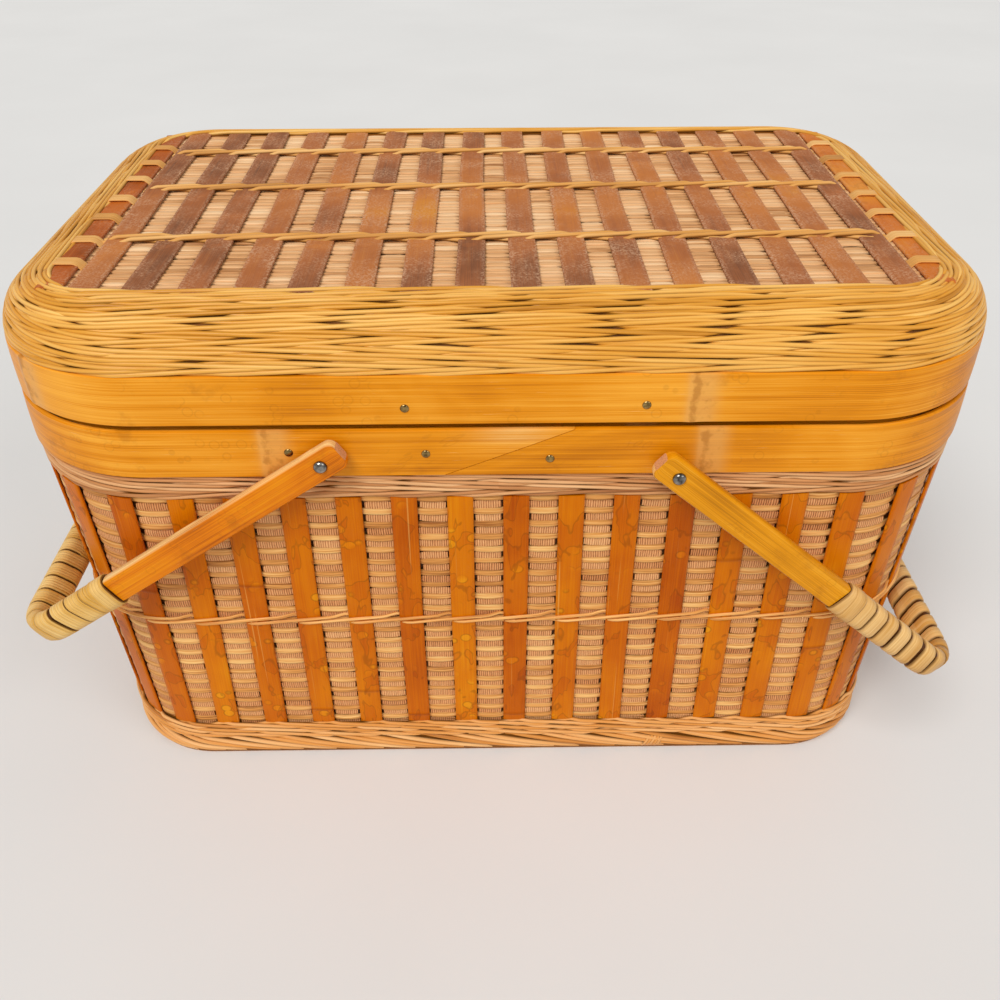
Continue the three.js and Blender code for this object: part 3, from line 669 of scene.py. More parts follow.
def body_wall():
    """Smooth splints that show between the slats, row above row."""
    skin = Skin()
    steps_per_slat = 7
    ring = FIRST_SLAT + SLAT_PITCH * np.arange(SLAT_COUNT * steps_per_slat) / steps_per_slat
    splint = splint_section(SPLINT_WIDTH, 0.8, 0.12)
    # Painted shade along both edges of each splint, darkening the lines between rows.
    edge_shade = 0.4 * (np.abs(splint[:, 0]) > 0.4 * SPLINT_WIDTH)[None]
    behind_slats, bulge = -1.6, 1.5
    for z in WALL_ROWS:
        level = z + gap_noise(ring, 0.3)
        out = behind_slats + (bulge + gap_noise(ring, 0.15)) * weave_bulge(ring) * in_open_weave(z)
        taper = 1 + gap_noise(ring, 0.1)
        tone = vary(0.35) + gap_noise(ring, 0.5)
        skin.sweep(*wall_at(ring, level, out), splint, ring=True, taper=taper, tone=tone, mark=edge_shade)
    skin.piece("body_weave", "basket", "straw_weave", [STRAW], "body_wall")


def wall_stakes():
    """Fine stakes that show between the rows, and the shaded rows behind them."""
    skin = Skin()
    ring = shares(SLAT_COUNT * 2) * WALL_ROUND
    between_rows = WALL_ROWS[:-1] + ROW_PITCH / 2
    # Dark rows behind the weave, painted as the shade seen through its holes.
    shade_backing, shade_backing_out = oval(5.0, 0.8, 4), -1.8
    for z in between_rows:
        tone = vary(0.8)
        skin.sweep(*wall_at(ring, z, shade_backing_out), shade_backing, ring=True, tone=tone, look=1)
    patch, patch_out = oval(5.3, 1.2), -0.25
    taper = np.array([0.7, 0.95, 1, 1, 1, 0.95, 0.7])
    for z in filter(in_open_weave, between_rows):
        for i in range(SLAT_COUNT):
            half = (SLAT_PITCH - SLAT_WIDTH) / 2 - RANDOM.uniform(-0.5, 1.2, 2)
            middle = FIRST_SLAT + (i + 0.5) * SLAT_PITCH
            line = middle + np.linspace(-half[0], half[1], len(taper))
            lean = RANDOM.uniform(-0.4, 0.4) * np.linspace(-1, 1, len(taper))
            path = wall_at(line, z + lean, patch_out)
            skin.sweep(*path, patch, taper=taper, tone=vary(0.6))
    skin.piece("body_stakes", "basket", "straw_weave", [TICKED, SHADOW])


def wall_lining():
    """The weave's inner side: rows before and behind the stakes in turn."""
    skin = Skin()
    ring = shares(LINING_STEPS) * WALL_ROUND
    section, inside, wave_height = oval(3.6, 0.9), -2.6, 0.4
    for i, z in enumerate(np.arange(WALL_ROWS[0], WALL_TOP - 2, LINING_PITCH)):
        wave = wave_height * np.cos(2 * math.pi * ring / SLAT_PITCH + math.pi * i)
        path, facing = wall_at(ring, z + gap_noise(ring, 0.15), inside + wave)
        tone = vary(0.5) + gap_noise(ring, 0.6)
        # Painted shade on the sides of each lining row where it meets its neighbours.
        skin.sweep(path, -facing, section, ring=True, tone=tone, mark=0.7 * crevice_shade(section))
    skin.piece("body_lining", "basket", "straw_weave", [STRAW])


def wall_slats():
    skin = Skin()
    section = slab(SLAT_WIDTH, SLAT_THICKNESS, 0.4, 0.35)
    node_steps = np.array([-2, -1, -0.5, 0, 0.5, 1, 2])
    for i in range(SLAT_COUNT):
        node = RANDOM.uniform(-60, 260)
        z = np.concatenate([np.linspace(SLAT_LOW, SLAT_TOP, 26), node + node_steps])
        z = np.unique(np.clip(z, SLAT_LOW, SLAT_TOP))
        ridge = bell(z - node, 0.9)
        drift = RANDOM.uniform(-0.5, 0.5) * ripple(z, 60)
        path = wall_at(FIRST_SLAT + i * SLAT_PITCH + drift, z, SLAT_STANDOFF + 0.3 * ridge)
        tone = vary(0.5) + (z > node) * vary(0.7)
        skin.sweep(*path, section, tone=tone, mark=ridge)
    wale_round(skin)
    skin.piece("wall_slats_and_twine", "basket", "stained_slats", [STAINED, STRAW], "wall_slats", sharp=50)


def wale(phase):
    """Rise and lift of a strand that passes before two slats and behind the third."""
    share = phase % 1
    front = smooth(0, 0.1, share) * (1 - smooth(0.58, 0.7, share))
    rise = np.where(share < 2 / 3, 3 * share - 1, 5 - 6 * share)
    return rise, front


def wale_round(skin):
    """One strand that goes three times round, so that it closes on itself."""
    rounds, spread, lift = 3, 3.0, 2.3
    share = shares(SLAT_COUNT * 30)
    distance = FIRST_SLAT + rounds * WALL_ROUND * share
    rise, front = wale(distance / (rounds * SLAT_PITCH))
    level = TWINE_HEIGHT + spread * rise + 0.4 * waves(share)
    path = wall_at(distance, level, TWINE_OUT + lift * front)
    skin.sweep(*path, oval(1.7, 1.6, 8), ring=True, tone=0.6 * waves(share), look=1)


# Twined borders of the body
def floats(phase):
    """Rise and lift of a strand that crosses slowly in front and returns quickly behind."""
    share = phase % 1
    turn_back = 0.78
    front = smooth(0, 0.14, share) * (1 - smooth(turn_back - 0.1, turn_back + 0.06, share))
    rise = np.where(share < turn_back, share / turn_back, (1 - share) / (1 - turn_back))
    return 2 * smooth(0, 1, rise) - 1, front


def twined_pairs(skin, surface, levels, section, samples, turns, spread, lift, sway, both_ways=False):
    """Two strands at each level that take turns in front of each other."""
    share = shares(samples)
    for level in levels:
        slope = RANDOM.choice([-1, 1]) if both_ways else -1
        twist = (turns + RANDOM.integers(-2, 3)) * (share + 0.006 * waves(share)) + RANDOM.random()
        middle = level + sway * waves(share)
        for strand in (0, 0.5):
            rise, front = floats(twist + strand)
            path = surface(share, middle + slope * spread * rise, lift * (2 * front - 1))
            tone = vary(0.7) + 0.8 * waves(share)
            # Painted shade on the sides of each strand that face its neighbours and the wall.
            skin.sweep(*path, section, ring=True, tone=tone, mark=crevice_shade(section))


def wall_surface(standoff):
    """The wall by the share of a round, the height and the lift."""
    return lambda share, z, lift: wall_at(share * WALL_ROUND, z, standoff + lift)


def collar():
    skin = Skin()
    rows, height = 4, COLLAR_TOP - COLLAR_LOW
    step = height / rows
    levels = COLLAR_LOW + step * (np.arange(rows) + 0.5)
    twined_pairs(
        skin, wall_surface(1.1), levels, oval(1.9, 1.8, 8), samples=600,
        turns=17, spread=0.33 * step, lift=0.45, sway=0.4, both_ways=True,
    )
    # A dark band behind the strands, painted as the shade in the gaps between them.
    middle = wall_at(shares(120) * WALL_ROUND, (COLLAR_LOW + COLLAR_TOP) / 2, 0.35)
    skin.sweep(*middle, oval(height, 0.5), ring=True, look=1)
    skin.piece("collar_twining", "basket", "tan_cane", [TAN, BACKING_SHADE], "collar_weave")


def foot_border():
    skin = Skin()
    below_top = np.array([2.0, 6.0, 10.0])
    twined_pairs(
        skin, wall_surface(2.0), FOOT_TOP - below_top, oval(2.3, 2.1, 8), samples=700,
        turns=SLAT_COUNT // 2, spread=1.4, lift=0.7, sway=0.5,
    )
    foot_plait(skin)
    ring = shares(240) * WALL_ROUND
    rod, rod_height = oval(3.5, 3.5, 8), 1.8
    for out in (0.5, -3.0, -6.5, -10.0):
        skin.sweep(*wall_at(ring, rod_height, out), rod, ring=True, tone=vary(0.5))
    foot_lashing(skin)
    # A dark sheet behind the plait, painted as the shade in the gaps between its strands.
    half = 13.0
    shade_backing = np.array([(-half, 0.0), (half, 0.0), (half, 1.0), (-half, 1.0)])
    skin.sweep(*wall_at(ring, FOOT_TOP - half - 0.5, 0.35), shade_backing, ring=True, look=1)
    skin.piece("foot_plait", "basket", "honey_cane", [FOOT_CANE, BACKING_SHADE], "foot_border")


def foot_plait(skin):
    strand = oval(2.8, 2.9, 8)
    share = np.linspace(0, 1, 20)
    z = PLAIT_TOP - PLAIT_DROP * share**1.1
    out = 0.2 + 3.1 * np.sin(math.pi * np.clip(share, 0.05, 0.95)) ** 0.7
    taper = 1 - 0.5 * np.abs(2 * share - 1) ** 8
    for i in range(PLAIT_STRANDS):
        start = (i + RANDOM.uniform(-0.25, 0.25)) / PLAIT_STRANDS * WALL_ROUND
        path = wall_at(start + PLAIT_LENGTH * share, z, out)
        # Painted shade on the sides of each plait strand that face its neighbours and the wall.
        skin.sweep(*path, strand, taper=taper, tone=vary(0.8), mark=crevice_shade(strand))


def foot_lashing(skin):
    strand, pitch = oval(1.9, 1.1), 1.8
    rise = np.linspace(-1, 1, 9)
    for i in range(LASHING_STRANDS):
        distance = LASHING_POSITION + pitch * i + 2.0 * rise
        path = wall_at(distance, 8 + 4.5 * rise, 4.6 - 1.6 * rise**2)
        # Painted shade on the sides of each lashing strand that face its neighbours and the wall.
        skin.sweep(*path, strand, tone=0.2 - 0.4 * (i % 2), mark=crevice_shade(strand))


# Plain weave of the floor and of the lid's underside
def woven_sheet(skin, size, low):
    """A flat weave of strips along X over and under stakes along Y, cut to an outline."""
    thickness, wave_height = 0.9, 0.45
    strip, stake = slab(SHEET_WIDTH, thickness, 0.25), slab(STAKE_WIDTH, thickness, 0.25)
    half_length, half_depth, corner = size
    middle = low + thickness
    count = int(half_depth / SHEET_PITCH)
    for i in range(-count, count + 1):
        y = i * SHEET_PITCH
        reach = outline_reach(size, y)
        x = np.arange(-reach, reach, STAKE_PITCH / 6)
        wave = wave_height * np.cos(math.pi * (x / STAKE_PITCH + i))
        skin.lay(x, y, middle + wave, strip, tone=vary(0.8))
    count = int(half_length / STAKE_PITCH)
    for i in range(-count, count + 1):
        x = i * STAKE_PITCH
        reach = outline_reach((half_depth, half_length, corner), x)
        y = np.arange(-reach, reach, SHEET_PITCH / 4)
        wave = -wave_height * np.cos(math.pi * (y / SHEET_PITCH + i))
        skin.lay(x, y, middle + wave, stake, tone=vary(0.8))


def base_panel():
    skin = Skin()
    inside_wall = 3.2
    size = tuple(side - inside_wall for side in wall_size(BASE_LOW, 0.0))
    woven_sheet(skin, size, BASE_LOW + 0.2)
    skin.piece("base_weave", "basket", "straw_weave", [STRAW], "base_panel", sharp=50)


# Bamboo hoops of the two rims
def hoop(name, body, node, outer, look, joints, scarf=None, tone=0.0):
    """A flat hoop. Its slanted ends meet at the scarf, and its bamboo nodes are at the joints."""
    low, high = heights(node)
    section = slab(high - low, HOOP_THICKNESS, 0.6, 0.25)
    across, out = section[:, 0], section[:, 1]
    seam, blend = 0.4, 90
    scarfed = scarf is not None
    start, end = (scarf + seam, scarf + RIM_ROUND - seam) if scarfed else (0, RIM_ROUND)
    joints = [start + (d - start) % RIM_ROUND for d in joints]
    even = np.linspace(start, end, 360, endpoint=scarfed)
    near_joint = np.array([-9, -6, -4, -3, -2, -1, 0, 1, 2, 3, 4.5, 6, 8, 11, 15])
    distance = np.unique(np.concatenate([even, *(d + near_joint for d in joints)]))
    slant = np.zeros(len(distance))
    if scarfed:
        leaving, coming = smooth(0, blend, distance - start), smooth(-blend, 0, distance - end)
        slant = SCARF_LEAN * np.maximum(1 - leaving, coming)
    around = distance[:, None] + slant[:, None] * across[None]
    ridge, zone = np.zeros(around.shape), np.zeros(around.shape)
    for d in joints:
        ridge += bell(around - d, 2.6)
        zone += 0.5 * bell(around - d - 4, 8) + 0.4 * bell(around - d, 2.2)
    if scarfed:
        scuff_back, scuff_width = 24, 15
        scuff = bell(around - end - SCARF_LEAN * across[0] + scuff_back, scuff_width)
        zone -= 0.5 * scuff * smooth(2, 9, across)[None]
    proud = outer - HOOP_THICKNESS + out[None] + 0.45 * ridge * (out[None] > HOOP_THICKNESS / 2)
    level = np.broadcast_to((low + high) / 2 + across[None], around.shape)
    size = (RIM_HALF_LENGTH + proud, RIM_HALF_DEPTH + proud, RIM_CORNER + proud)
    rows, _ = place(spots(around, RIM_REFERENCE), size, level)
    skin = Skin()
    skin.loft(rows, not scarfed, tone=tone, mark=zone)
    skin.piece(name, body, "amber_bamboo", [look], node, sharp=40)


def hoops():
    hoop("body_rim_band", "basket", "body_outer_hoop", 0, AMBER, (-103, 91, 520, 800), SCARF_POSITION, -0.2)
    hoop("body_rim_lining", "basket", "body_inner_hoop", INNER_FACE, GOLDEN, (60, 480, 900), tone=-0.5)
    hoop("lid_rim_band", "lid", "lid_outer_hoop", 0, AMBER, (84, 430, 850, 1170), RIM_ROUND / 2)
    hoop("lid_rim_lining", "lid", "lid_inner_hoop", INNER_FACE, GOLDEN, (200, 640, 1050), tone=-0.5)


# Lid
def lid_border():
    skin = Skin()
    arc = math.pi / 2

    def surface(share, angle, lift):
        return shoulder_at(share * RIM_ROUND, angle, 1.75 - lift)

    levels = arc * (np.arange(BORDER_PAIRS) + 0.45) / BORDER_PAIRS
    twined_pairs(
        skin, surface, levels, oval(2.2, 2.3, 8), samples=450,
        turns=13, spread=0.36 * arc / BORDER_PAIRS, lift=0.5, sway=0.6 / 29, both_ways=True,
    )
    # A dark sheet under the strands, painted as the shade in the gaps between them.
    ring = shares(160) * RIM_ROUND
    angles = np.linspace(0, arc, 9)
    outer = [shoulder_at(ring, a, 2.5)[0] for a in angles]
    inner = [shoulder_at(ring, a, 3.2)[0] for a in angles[::-1]]
    skin.loft(np.stack(outer + inner, 1), True, look=1)
    skin.piece("lid_border_twining", "lid", "honey_cane", [HONEY, BACKING_SHADE], "lid_border")


def lid_splints(skin):
    """Splints of many widths, which narrow under the slats and bulge between them."""
    gaps = np.arange(-9, 10) * LID_SLAT_PITCH
    half_depth = PANEL_SIZE[1]
    y = -half_depth
    while y < half_depth:
        width = RANDOM.uniform(2.6, 4.8)
        narrow = RANDOM.choice([0.1, 0.55])
        middle = y + width / 2
        reach = outline_reach(PANEL_SIZE, min(abs(middle), half_depth - 1))
        x = np.arange(-reach, reach, LID_SLAT_PITCH / 8)
        off_slat = np.abs((x / LID_SLAT_PITCH) % 1 - 0.5)
        bulge = smooth(0.18, 0.38, off_slat)
        lift, drift = (np.interp(x, gaps, vary(amount, len(gaps))) for amount in (0.22, 0.35))
        z = PANEL_TOP - 1.1 + 0.35 * bulge + lift * bulge
        taper = 1 - narrow * (1 - smooth(0.29, 0.36, off_slat))
        tone = vary(0.35) + np.interp(x, gaps, vary(0.6, len(gaps)))
        skin.lay(x, middle + drift, z, splint_section(width, 0.9, 0.1), taper=taper, tone=tone)
        y += width + RANDOM.uniform(0.2, 0.6)


def lid_panel():
    """Splints, dark strips painted as the shade in the gaps beside the slats, and rows inside the shoulder
    and the hoop.
    """
    skin = Skin()
    lid_splints(skin)
    # Dark strips beside each slat that paint the shade in the gaps of the weave.
    gap_shade, gap_middle = splint_section(3.4, 0.3, 0.0), 1.1
    for i in range(2, LID_SLAT_COUNT):
        low, high = corners(f"lid_slat_{i:02d}")
        y = np.linspace(low[1], high[1], 12)
        for x in (low[0] - gap_middle, high[0] + gap_middle):
            skin.lay(x, y, PANEL_TOP - 1.5, gap_shade, look=1)
    ring = shares(200) * RIM_ROUND
    for angle in np.linspace(0.06, 1.45, 9):
        skin.sweep(*shoulder_at(ring, angle, 4.6), oval(4.9, 1.0), ring=True, tone=vary(0.8))
    for z in np.arange(LID_HOOP_LOW + 2.4, LID_HOOP_TOP + 2, 4.6):
        path = place(spots(ring, RIM_REFERENCE), rim_size(-4.5), z)
        skin.sweep(*path, oval(4.4, 1.4), ring=True, tone=vary(0.8))
    skin.piece("lid_weave", "lid", "straw_weave", [LID_STRAW, SHADOW], "lid_panel", sharp=50)


def lid_lining():
    skin = Skin()
    woven_sheet(skin, PANEL_SIZE, PANEL_TOP - 3.5)
    skin.piece("lid_lining", "lid", "straw_weave", [TAN], sharp=50)


def lid_slats():
    for i in range(1, LID_SLAT_COUNT + 1):
        node = f"lid_slat_{i:02d}"
        low, high = corners(node)
        edge = i in (1, LID_SLAT_COUNT)
        beside_edge = i in (2, LID_SLAT_COUNT - 1)
        trim = EDGE_SLAT_TRIM if edge else 0.4 * beside_edge
        inward = -np.sign(low[0]) * (edge or beside_edge)
        tuck = EDGE_SLAT_TUCK * edge
        width, thickness = high[0] - low[0] - trim + tuck, high[2] - low[2]
        under_border = 4 * (not edge)
        y = np.linspace(low[1] - under_border, high[1] + under_border, 48)
        bend = 0.4 * ripple(y, 55) + 0.25 * ripple(y, 23)
        lift = 0.22 * ripple(y, 31)
        middle = (low[0] + high[0] - inward * (trim + tuck)) / 2
        joint = RANDOM.uniform(-140, 140)
        zones = np.interp(y, np.linspace(y[0], y[-1], 6), vary(0.9, 6))
        tone = RANDOM.normal(-0.1, 0.5) + (y > joint) * vary(0.8) + zones
        section = slab(width, thickness, 0.4, 0.3)
        worn = -1.0 * (np.abs(section[:, 0]) > width / 2 - 0.5)
        skin = Skin()
        path = (middle + bend * (not edge), y, low[2] + lift)
        skin.lay(*path, section, tone=np.clip(tone, -1.3, 1.9), mark=worn[None])
        look = RUSSET if edge else WEATHERED
        skin.piece(f"lid_slat_strip_{i:02d}", "lid", "weathered_slats", [look], node, sharp=50)


def lid_twines():
    """Twined rows over the slats, whose ends dive into the weave."""
    section, strands, spread, lift = oval(2.8, 2.1, 8), 3, 3.3, 1.6
    half = corners(f"lid_slat_{LID_SLAT_COUNT - 1:02d}")[1][0] + 1.6
    x = np.linspace(-half, half, 400)
    dive = 2.6 * smooth(half - 8, half, np.abs(x))
    for label, y in zip(("front", "middle", "back"), LID_TWINE_ROWS):
        skin = Skin()
        for strand in range(strands):
            rise, front = wale(x / (strands * LID_SLAT_PITCH) + strand / strands + 0.5)
            level = LID_SLAT_TOP - 0.9 + lift * front - dive
            row = y + 0.5 * ripple(x, 61) + spread * rise
            tone = vary(0.4) + 0.5 * ripple(x, 29)
            # Painted shade on the sides of each strand that face its neighbours and the slats.
            skin.lay(x, row, level, section, tone=tone, mark=crevice_shade(section))
        skin.piece(f"lid_twining_{label}", "lid", "honey_cane", [PALE], f"lid_twine_{label}")


def edge_loops():
    """Flat splints from under the border, across the outermost slats and down beside them."""
    skin = Skin()
    low, high = corners(f"lid_slat_{LID_SLAT_COUNT:02d}")
    start, end = low[0] + EDGE_SLAT_TRIM - 2.4, high[0] + 5
    share = np.linspace(0, 1, 13)
    x = start + (end - start) * share
    over = smooth(0, 0.3, share) * (1 - smooth(0.85, 1, share))
    z = LID_SLAT_LOW - 1.4 + (LID_SLAT_TOP - LID_SLAT_LOW + 2.0) * over
    for side in (-1, 1):
        for y in np.arange(-EDGE_LOOP_REACH, EDGE_LOOP_REACH + 1, EDGE_LOOP_PITCH):
            shift = RANDOM.uniform(-3, 3)
            skew = RANDOM.uniform(-0.8, 0.8) * share
            loop = slab(RANDOM.uniform(6.8, 8.2), 0.8, 0.25, 0.1)
            skin.lay(side * x, y + shift + skew, z, loop, tone=RANDOM.normal(-0.4, 0.6))
    skin.piece("lid_edge_loops", "lid", "honey_cane", [PALE], sharp=50)


# Handles
class Swing:
    """Turns points drawn about a handle's pivot, with the arms along +X, to where it hangs."""

    def __init__(self, side, pivot, droop):
        self.side, self.pivot, self.droop = side, pivot, droop

    def __call__(self, points, move=True):
        x, y, z = np.moveaxis(np.asarray(points, float), -1, 0)
        cos, sin = math.cos(self.droop), math.sin(self.droop)
        turned = np.stack([self.side * (x * cos + z * sin), self.side * y, z * cos - x * sin], -1)
        return turned + self.pivot if move else turned

    def flat(self, points, move=True):
        """The same for points in the plane of the bow."""
        return self(np.concatenate([points, np.zeros((len(points), 1))], 1), move)


def solve_droop(across, down):
    """Droop and reach of a bow whose grip's edges are that far across and down from the pivot."""
    half = ARM_WIDTH / 2
    droop = np.linspace(0.2, 1.2, 4001)
    far = (across - half * np.sin(droop)) / np.cos(droop)
    best = np.argmin(np.abs(far * np.sin(droop) + half * np.cos(droop) - down))
    return droop[best], far[best] - ARM_THICKNESS / 2


def handle_frame(name):
    """A handle's swing to its rest, the distance of its arms from the middle, and its reach."""
    side = HANDLES[name]["side"]
    joint = next(j for j in frame["joints"] if j["name"] == f"{name}_handle_swing")
    pivot = np.array(joint["pos_m"]) / METRES
    low, high = corners(f"{name}_handle_bow")
    across = high[0] - pivot[0] if side > 0 else pivot[0] - low[0]
    droop, reach = solve_droop(across, pivot[2] - low[2])
    return Swing(side, pivot, droop), high[1] - ARM_THICKNESS / 2, reach


def arm_steps(start, reach):
    """Steps along an arm, up to the bend."""
    return np.arange(start, reach - BOW_BEND, BOW_STEP)


def bow_line(arm, reach, straight):
    """Points along the bow from the front arm's steps to the rear arm's, and the way that each faces."""
    line = [(x, -arm) for x in straight]
    facing = [(0, -1)] * len(straight)
    for turn in np.linspace(-math.pi / 2, 0, 15):
        cos, sin = math.cos(turn), math.sin(turn)
        facing.append((cos, sin))
        line.append((reach - BOW_BEND + BOW_BEND * cos, -arm + BOW_BEND + BOW_BEND * sin))
    grip = np.arange(-arm + BOW_BEND, 0, BOW_STEP)[1:]
    line += [(reach, y) for y in grip]
    facing += [(1, 0)] * len(grip)
    return [np.array(half + [(x, -y) for x, y in reversed(half)]) for half in (line, facing)]


def handle(name):
    swing, arm, reach = handle_frame(name)
    ends = np.array([0, 0.35, 0.9, 1.8, 2.6, ARM_END_ROUND, ARM_END - 1])
    line, facing = bow_line(arm, reach, [*(ends - ARM_END), *arm_steps(0.0, reach)])
    short = np.maximum(ARM_END_ROUND - ends, 0)
    rounding = ARM_END_ROUND - np.sqrt(ARM_END_ROUND**2 - short**2)
    narrowed = 1 - rounding / (ARM_WIDTH / 2)
    taper = np.concatenate([narrowed, np.ones(len(line) - 2 * len(ends)), narrowed[::-1]])
    path = swing.flat(line - facing * ARM_THICKNESS / 2)
    section = slab(ARM_WIDTH, ARM_THICKNESS, 1.1, 0.2)
    mark = np.zeros((len(path), len(section)))
    mark[:, UPPER_EDGE if name == "left" else LOWER_EDGE] = -1
    skin = Skin()
    skin.sweep(path, swing.flat(facing, move=False), section, taper=taper, mark=mark, end_look=1)
    looks = [ORANGE if name == "left" else GOLDEN, END_GRAIN]
    node = f"{name}_handle_bow"
    skin.piece(f"{name}_bow_bamboo", f"{name}_handle", "amber_bamboo", looks, node, sharp=45)
    wrap(name, arm, reach, swing)


def loop_starts(length, width, pitch):
    """Where each loop starts along the grip. Those near both ends lie close together."""
    between = int((length - width) / pitch)
    snug = SNUG_PITCH * width
    pitches = np.full(between, (length - width - 2 * SNUG_LOOPS * snug) / (between - 2 * SNUG_LOOPS))
    pitches[:SNUG_LOOPS] = snug
    pitches[between - SNUG_LOOPS :] = snug
    return np.append(0, np.cumsum(pitches))


def strip_profile(ridges):
    """Shares across a strip of several ridges, and how deep the groove is at each, which also sets its
    painted shade.
    """
    split = np.array([0, 0.1, 0.5, 0.9])
    across = np.append(np.add.outer(np.arange(ridges), split).ravel() / ridges, 1)
    grooves = np.append(np.tile([FINE_GROOVE, 0, 0, 0], ridges), 1)
    grooves[0] = 1
    return across, grooves


def wrap(name, arm, reach, swing):
    """A cane strip wound round the grip, over a dark sleeve painted as the shade between the loops."""
    settings = HANDLES[name]
    width, ridges = settings["width"], settings["ridges"]
    line, facing = bow_line(arm, reach, arm_steps(settings["wrap_start"], reach))
    at = running_length(line)[:-1]
    length = at[-1]
    starts = loop_starts(length, width, settings["pitch"])
    between = len(starts) - 1
    loops = between + 2
    turn = np.arange(loops * WRAP_STEPS + 1) / WRAP_STEPS
    size = (ARM_WIDTH / 2, ARM_THICKNESS / 2, WRAP_CORNER)
    jitter = np.repeat(vary(0.35, loops + 1), WRAP_STEPS)[: len(turn)]
    advance = np.interp(turn - 1, np.arange(between + 1), starts)
    first_lap = smooth(1, 1.2, turn) * (1 - smooth(1.8, 2, turn))
    over = WRAP_LAP * first_lap + WRAP_LAP * smooth(between + 1, between + 1.2, turn)

    def layer(offset, share):
        grown = tuple(part + offset + over for part in size)
        ring, _ = place(spots(turn * outline_length(size), size), grown, 0.0)
        s = np.clip(advance + share * width + jitter, 0, length)
        x, y = (np.interp(s, at, line[:, k]) for k in (0, 1))
        facing_x, facing_y = (np.interp(s, at, facing[:, k]) for k in (0, 1))
        crown = WRAP_CROWN * np.maximum(1 - (ring[:, 0] / size[0]) ** 2, 0)
        outward = ring[:, 1] + crown * np.sign(ring[:, 1])
        return np.stack([x + facing_x * outward, y + facing_y * outward, ring[:, 0]], -1)

    across, grooves = strip_profile(ridges)
    top = [layer(0.35 + 1.2 * (1 - 0.5 * groove), share) for share, groove in zip(across, grooves)]
    under = [layer(WRAP_CLEARANCE, share) for share in across[::-1]]
    tone = np.repeat(vary(0.45, (loops + 1, 1)), WRAP_STEPS, 0)[: len(turn)]
    strips = np.repeat(vary(0.25, ridges), 4)
    strips = np.append(strips, strips[-1])
    tone = tone + np.concatenate([strips, strips[::-1]])[None]
    # The groove depths also mark painted shade in the fine grooves and along the strip's edges.
    mark = np.tile(np.concatenate([grooves, grooves]), (len(turn), 1))
    skin = Skin()
    skin.loft(swing(np.stack(top + under, 1)), tone=tone, mark=mark)
    # A dark sleeve under the wrap, painted as the shade between the loops.
    shade_sleeve = slab(ARM_WIDTH + 2 * WRAP_CLEARANCE, ARM_THICKNESS + 2 * WRAP_CLEARANCE, 1.1)
    path = swing.flat(line - facing * (ARM_THICKNESS / 2 + WRAP_CLEARANCE))
    skin.sweep(path, swing.flat(facing, move=False), shade_sleeve, look=1)
    looks = [AGED_WRAP if name == "left" else WRAP, SHADOW]
    skin.piece(f"{name}_grip_wrap", f"{name}_handle", "cane_wrap", looks, f"{name}_handle_wrap")


# Fastenings
TIP = 0.05
NAIL_SHANK = 0.8
RIVET_SHANK = 1.8
RIVET_HEAD = 3.1
RIVET_TAIL = 3.4


def lathe(skin, profile, x, z, side):
    """Turns a profile of radius and distance out about a line along Y, towards the front or the back."""
    angle = shares(24) * 2 * math.pi
    ring = np.stack([side * np.cos(angle), 0 * angle, -np.sin(angle)], -1)
    skin.loft([ring * radius + (x, side * out, z) for radius, out in profile])


def dome(radius, low, high, steps):
    turns = np.linspace(0, math.pi / 2, steps)
    return [(max(radius * math.cos(t), TIP), low + (high - low) * math.sin(t)) for t in turns]


def rivet_profile(start, end):
    tail = start + 1.2
    return [
        (TIP, start), (2.4, start), (RIVET_TAIL, start + 0.6), (RIVET_TAIL, tail), (RIVET_SHANK, tail),
        (RIVET_SHANK, end - 2.1), (RIVET_HEAD, end - 2.1), *dome(RIVET_HEAD, end - 1.9, end, 7),
    ]


def nail_profile(start, end, head):
    return [
        (TIP, start), (NAIL_SHANK, start + 1), (NAIL_SHANK, end - 0.8),
        (head, end - 0.8), *dome(head, end - 0.7, end, 5),
    ]


def fastenings():
    for name in frame["nodes"]:
        rivet = name.endswith("rivet")
        if not rivet and "_nail_" not in name:
            continue
        low, high = corners(name)
        x, y, z = (low + high) / 2
        side = 1 if y > 0 else -1
        start, end = (low[1], high[1]) if y > 0 else (-high[1], -low[1])
        profile = rivet_profile(start, end) if rivet else nail_profile(start, end, (high[0] - low[0]) / 2)
        look, slot = (STEEL, "steel") if rivet else (BRASS, "dark_brass")
        skin = Skin()
        lathe(skin, profile, x, z, side)
        body = "lid" if name.startswith("lid") else "basket"
        skin.piece(f"{name}_head", body, slot, [look], name, sharp=40)


def hinge_rings():
    for label in ("left", "right"):
        low, high = corners(f"{label}_hinge_ring")
        wire = (high[0] - low[0]) / 2
        radius = (high[2] - low[2]) / 2 - wire
        turn = shares(48) * 2 * math.pi
        out = np.stack([0 * turn, np.cos(turn), np.sin(turn)], -1)
        skin = Skin()
        skin.sweep((low + high) / 2 + radius * out, out, oval(2 * wire, 2 * wire, 10), ring=True)
        skin.piece(f"{label}_wire_ring", f"{label}_ring", "steel", [STEEL], f"{label}_hinge_ring")


# Stage: floor, light and the photo's camera, in metres
FLOOR_HALF = 40.0
SKY_COLOUR = (1.0, 0.99, 0.97, 1)
SKY_STRENGTH = 0.42
LAMP_SPREAD = 32
CAMERA_PLACE = (-0.0038, -0.5191, 0.4662)
CAMERA_PITCH, CAMERA_YAW, CAMERA_ROLL = (math.radians(angle) for angle in (35.97, 0.68, -0.13))
CAMERA_SENSOR = 36
CAMERA_LENS = 36


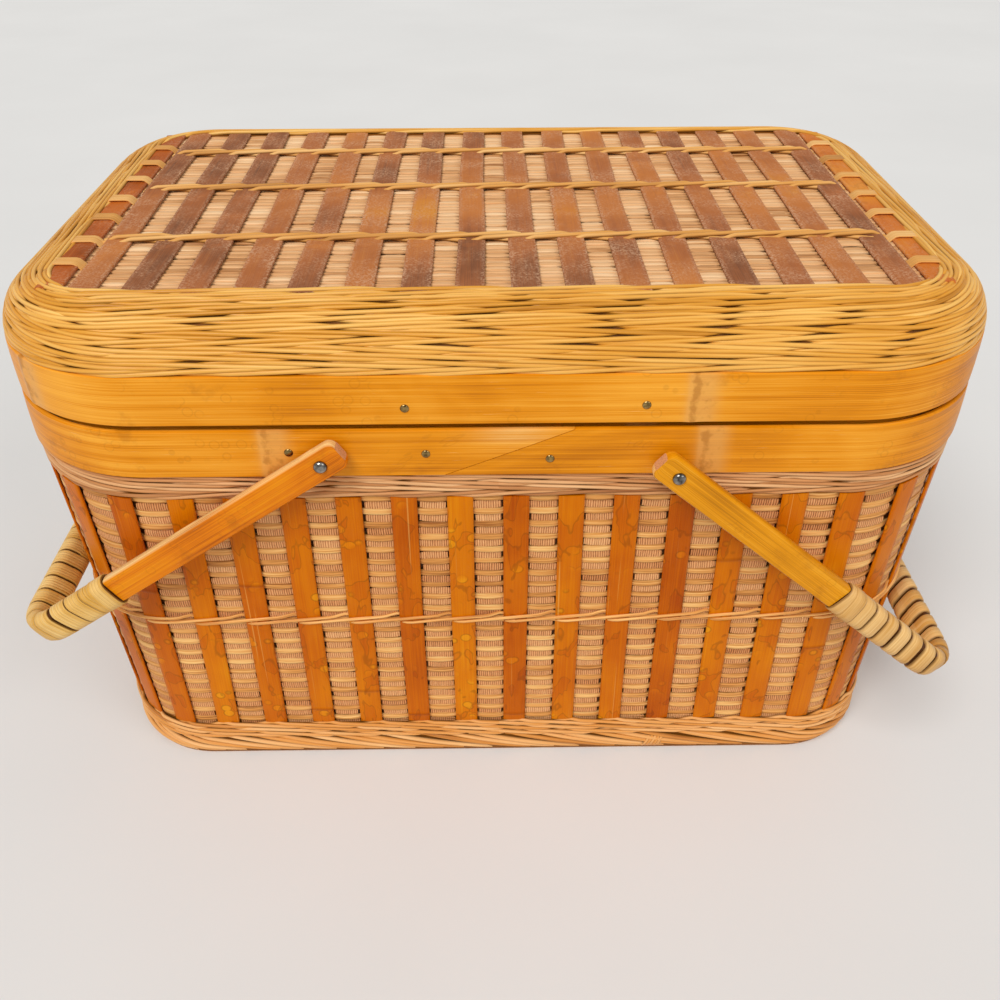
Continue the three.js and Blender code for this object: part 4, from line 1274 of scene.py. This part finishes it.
def stage():
    mesh = bpy.data.meshes.new("floor")
    square = [(x * FLOOR_HALF, y * FLOOR_HALF, 0) for x, y in ((-1, -1), (1, -1), (1, 1), (-1, 1))]
    mesh.from_pydata(square, [], [(0, 1, 2, 3)])
    floor = show("floor", mesh)
    look = Look("pale_floor", {"Roughness": 0.9, "Specular IOR Level": 0.1})
    grain = look.cloud(3.0, 3.0)
    look.to_shader("Base Color", look.ramp(grain, {0.3: 0xDCDBD9, 0.7: 0xE0DFDD}))
    mesh.materials.append(look.material)
    world = bpy.data.worlds.new("studio")
    bpy.context.scene.world = world
    world.use_nodes = True
    sky = world.node_tree.nodes["Background"].inputs
    sky["Color"].default_value = SKY_COLOUR
    sky["Strength"].default_value = SKY_STRENGTH
    lamp("key", (-0.9, -1.8, 2.5), 2.1)
    lamp("fill", (1.9, -1.6, 1.6), 0.55)


def lamp(name, place_m, strength):
    """A sun in the direction of a place, broad enough for soft shadows."""
    light = bpy.data.lights.new(name, "SUN")
    light.angle = math.radians(LAMP_SPREAD)
    light.energy = strength
    show(name, light).matrix_world = look_along(-unit(np.array(place_m)), place_m, 0.0)


def look_along(ahead, place_m, roll):
    """A matrix at a place whose -Z points ahead, level but for its roll."""
    right = unit(np.cross(ahead, (0, 0, 1.0)))
    up = np.cross(right, ahead)
    across = math.cos(roll) * right + math.sin(roll) * up
    top = math.cos(roll) * up - math.sin(roll) * right
    columns = np.stack([across, top, -ahead, place_m], 1)
    return Matrix([*columns.tolist(), (0, 0, 0, 1)])


def camera():
    level = math.cos(CAMERA_PITCH)
    ahead = np.array([math.sin(CAMERA_YAW) * level, math.cos(CAMERA_YAW) * level, -math.sin(CAMERA_PITCH)])
    view = bpy.data.cameras.new("photo_view")
    view.sensor_width = CAMERA_SENSOR
    view.lens = CAMERA_LENS
    obj = show("photo_view", view)
    obj.matrix_world = look_along(ahead, CAMERA_PLACE, CAMERA_ROLL)
    bpy.context.scene.camera = obj


body_wall()
wall_stakes()
wall_lining()
wall_slats()
collar()
foot_border()
base_panel()
hoops()
lid_border()
lid_panel()
lid_lining()
lid_slats()
lid_twines()
edge_loops()
for handle_name in HANDLES:
    handle(handle_name)
fastenings()
hinge_rings()
stage()
camera()
bpy.context.scene.view_settings.view_transform = "Standard"
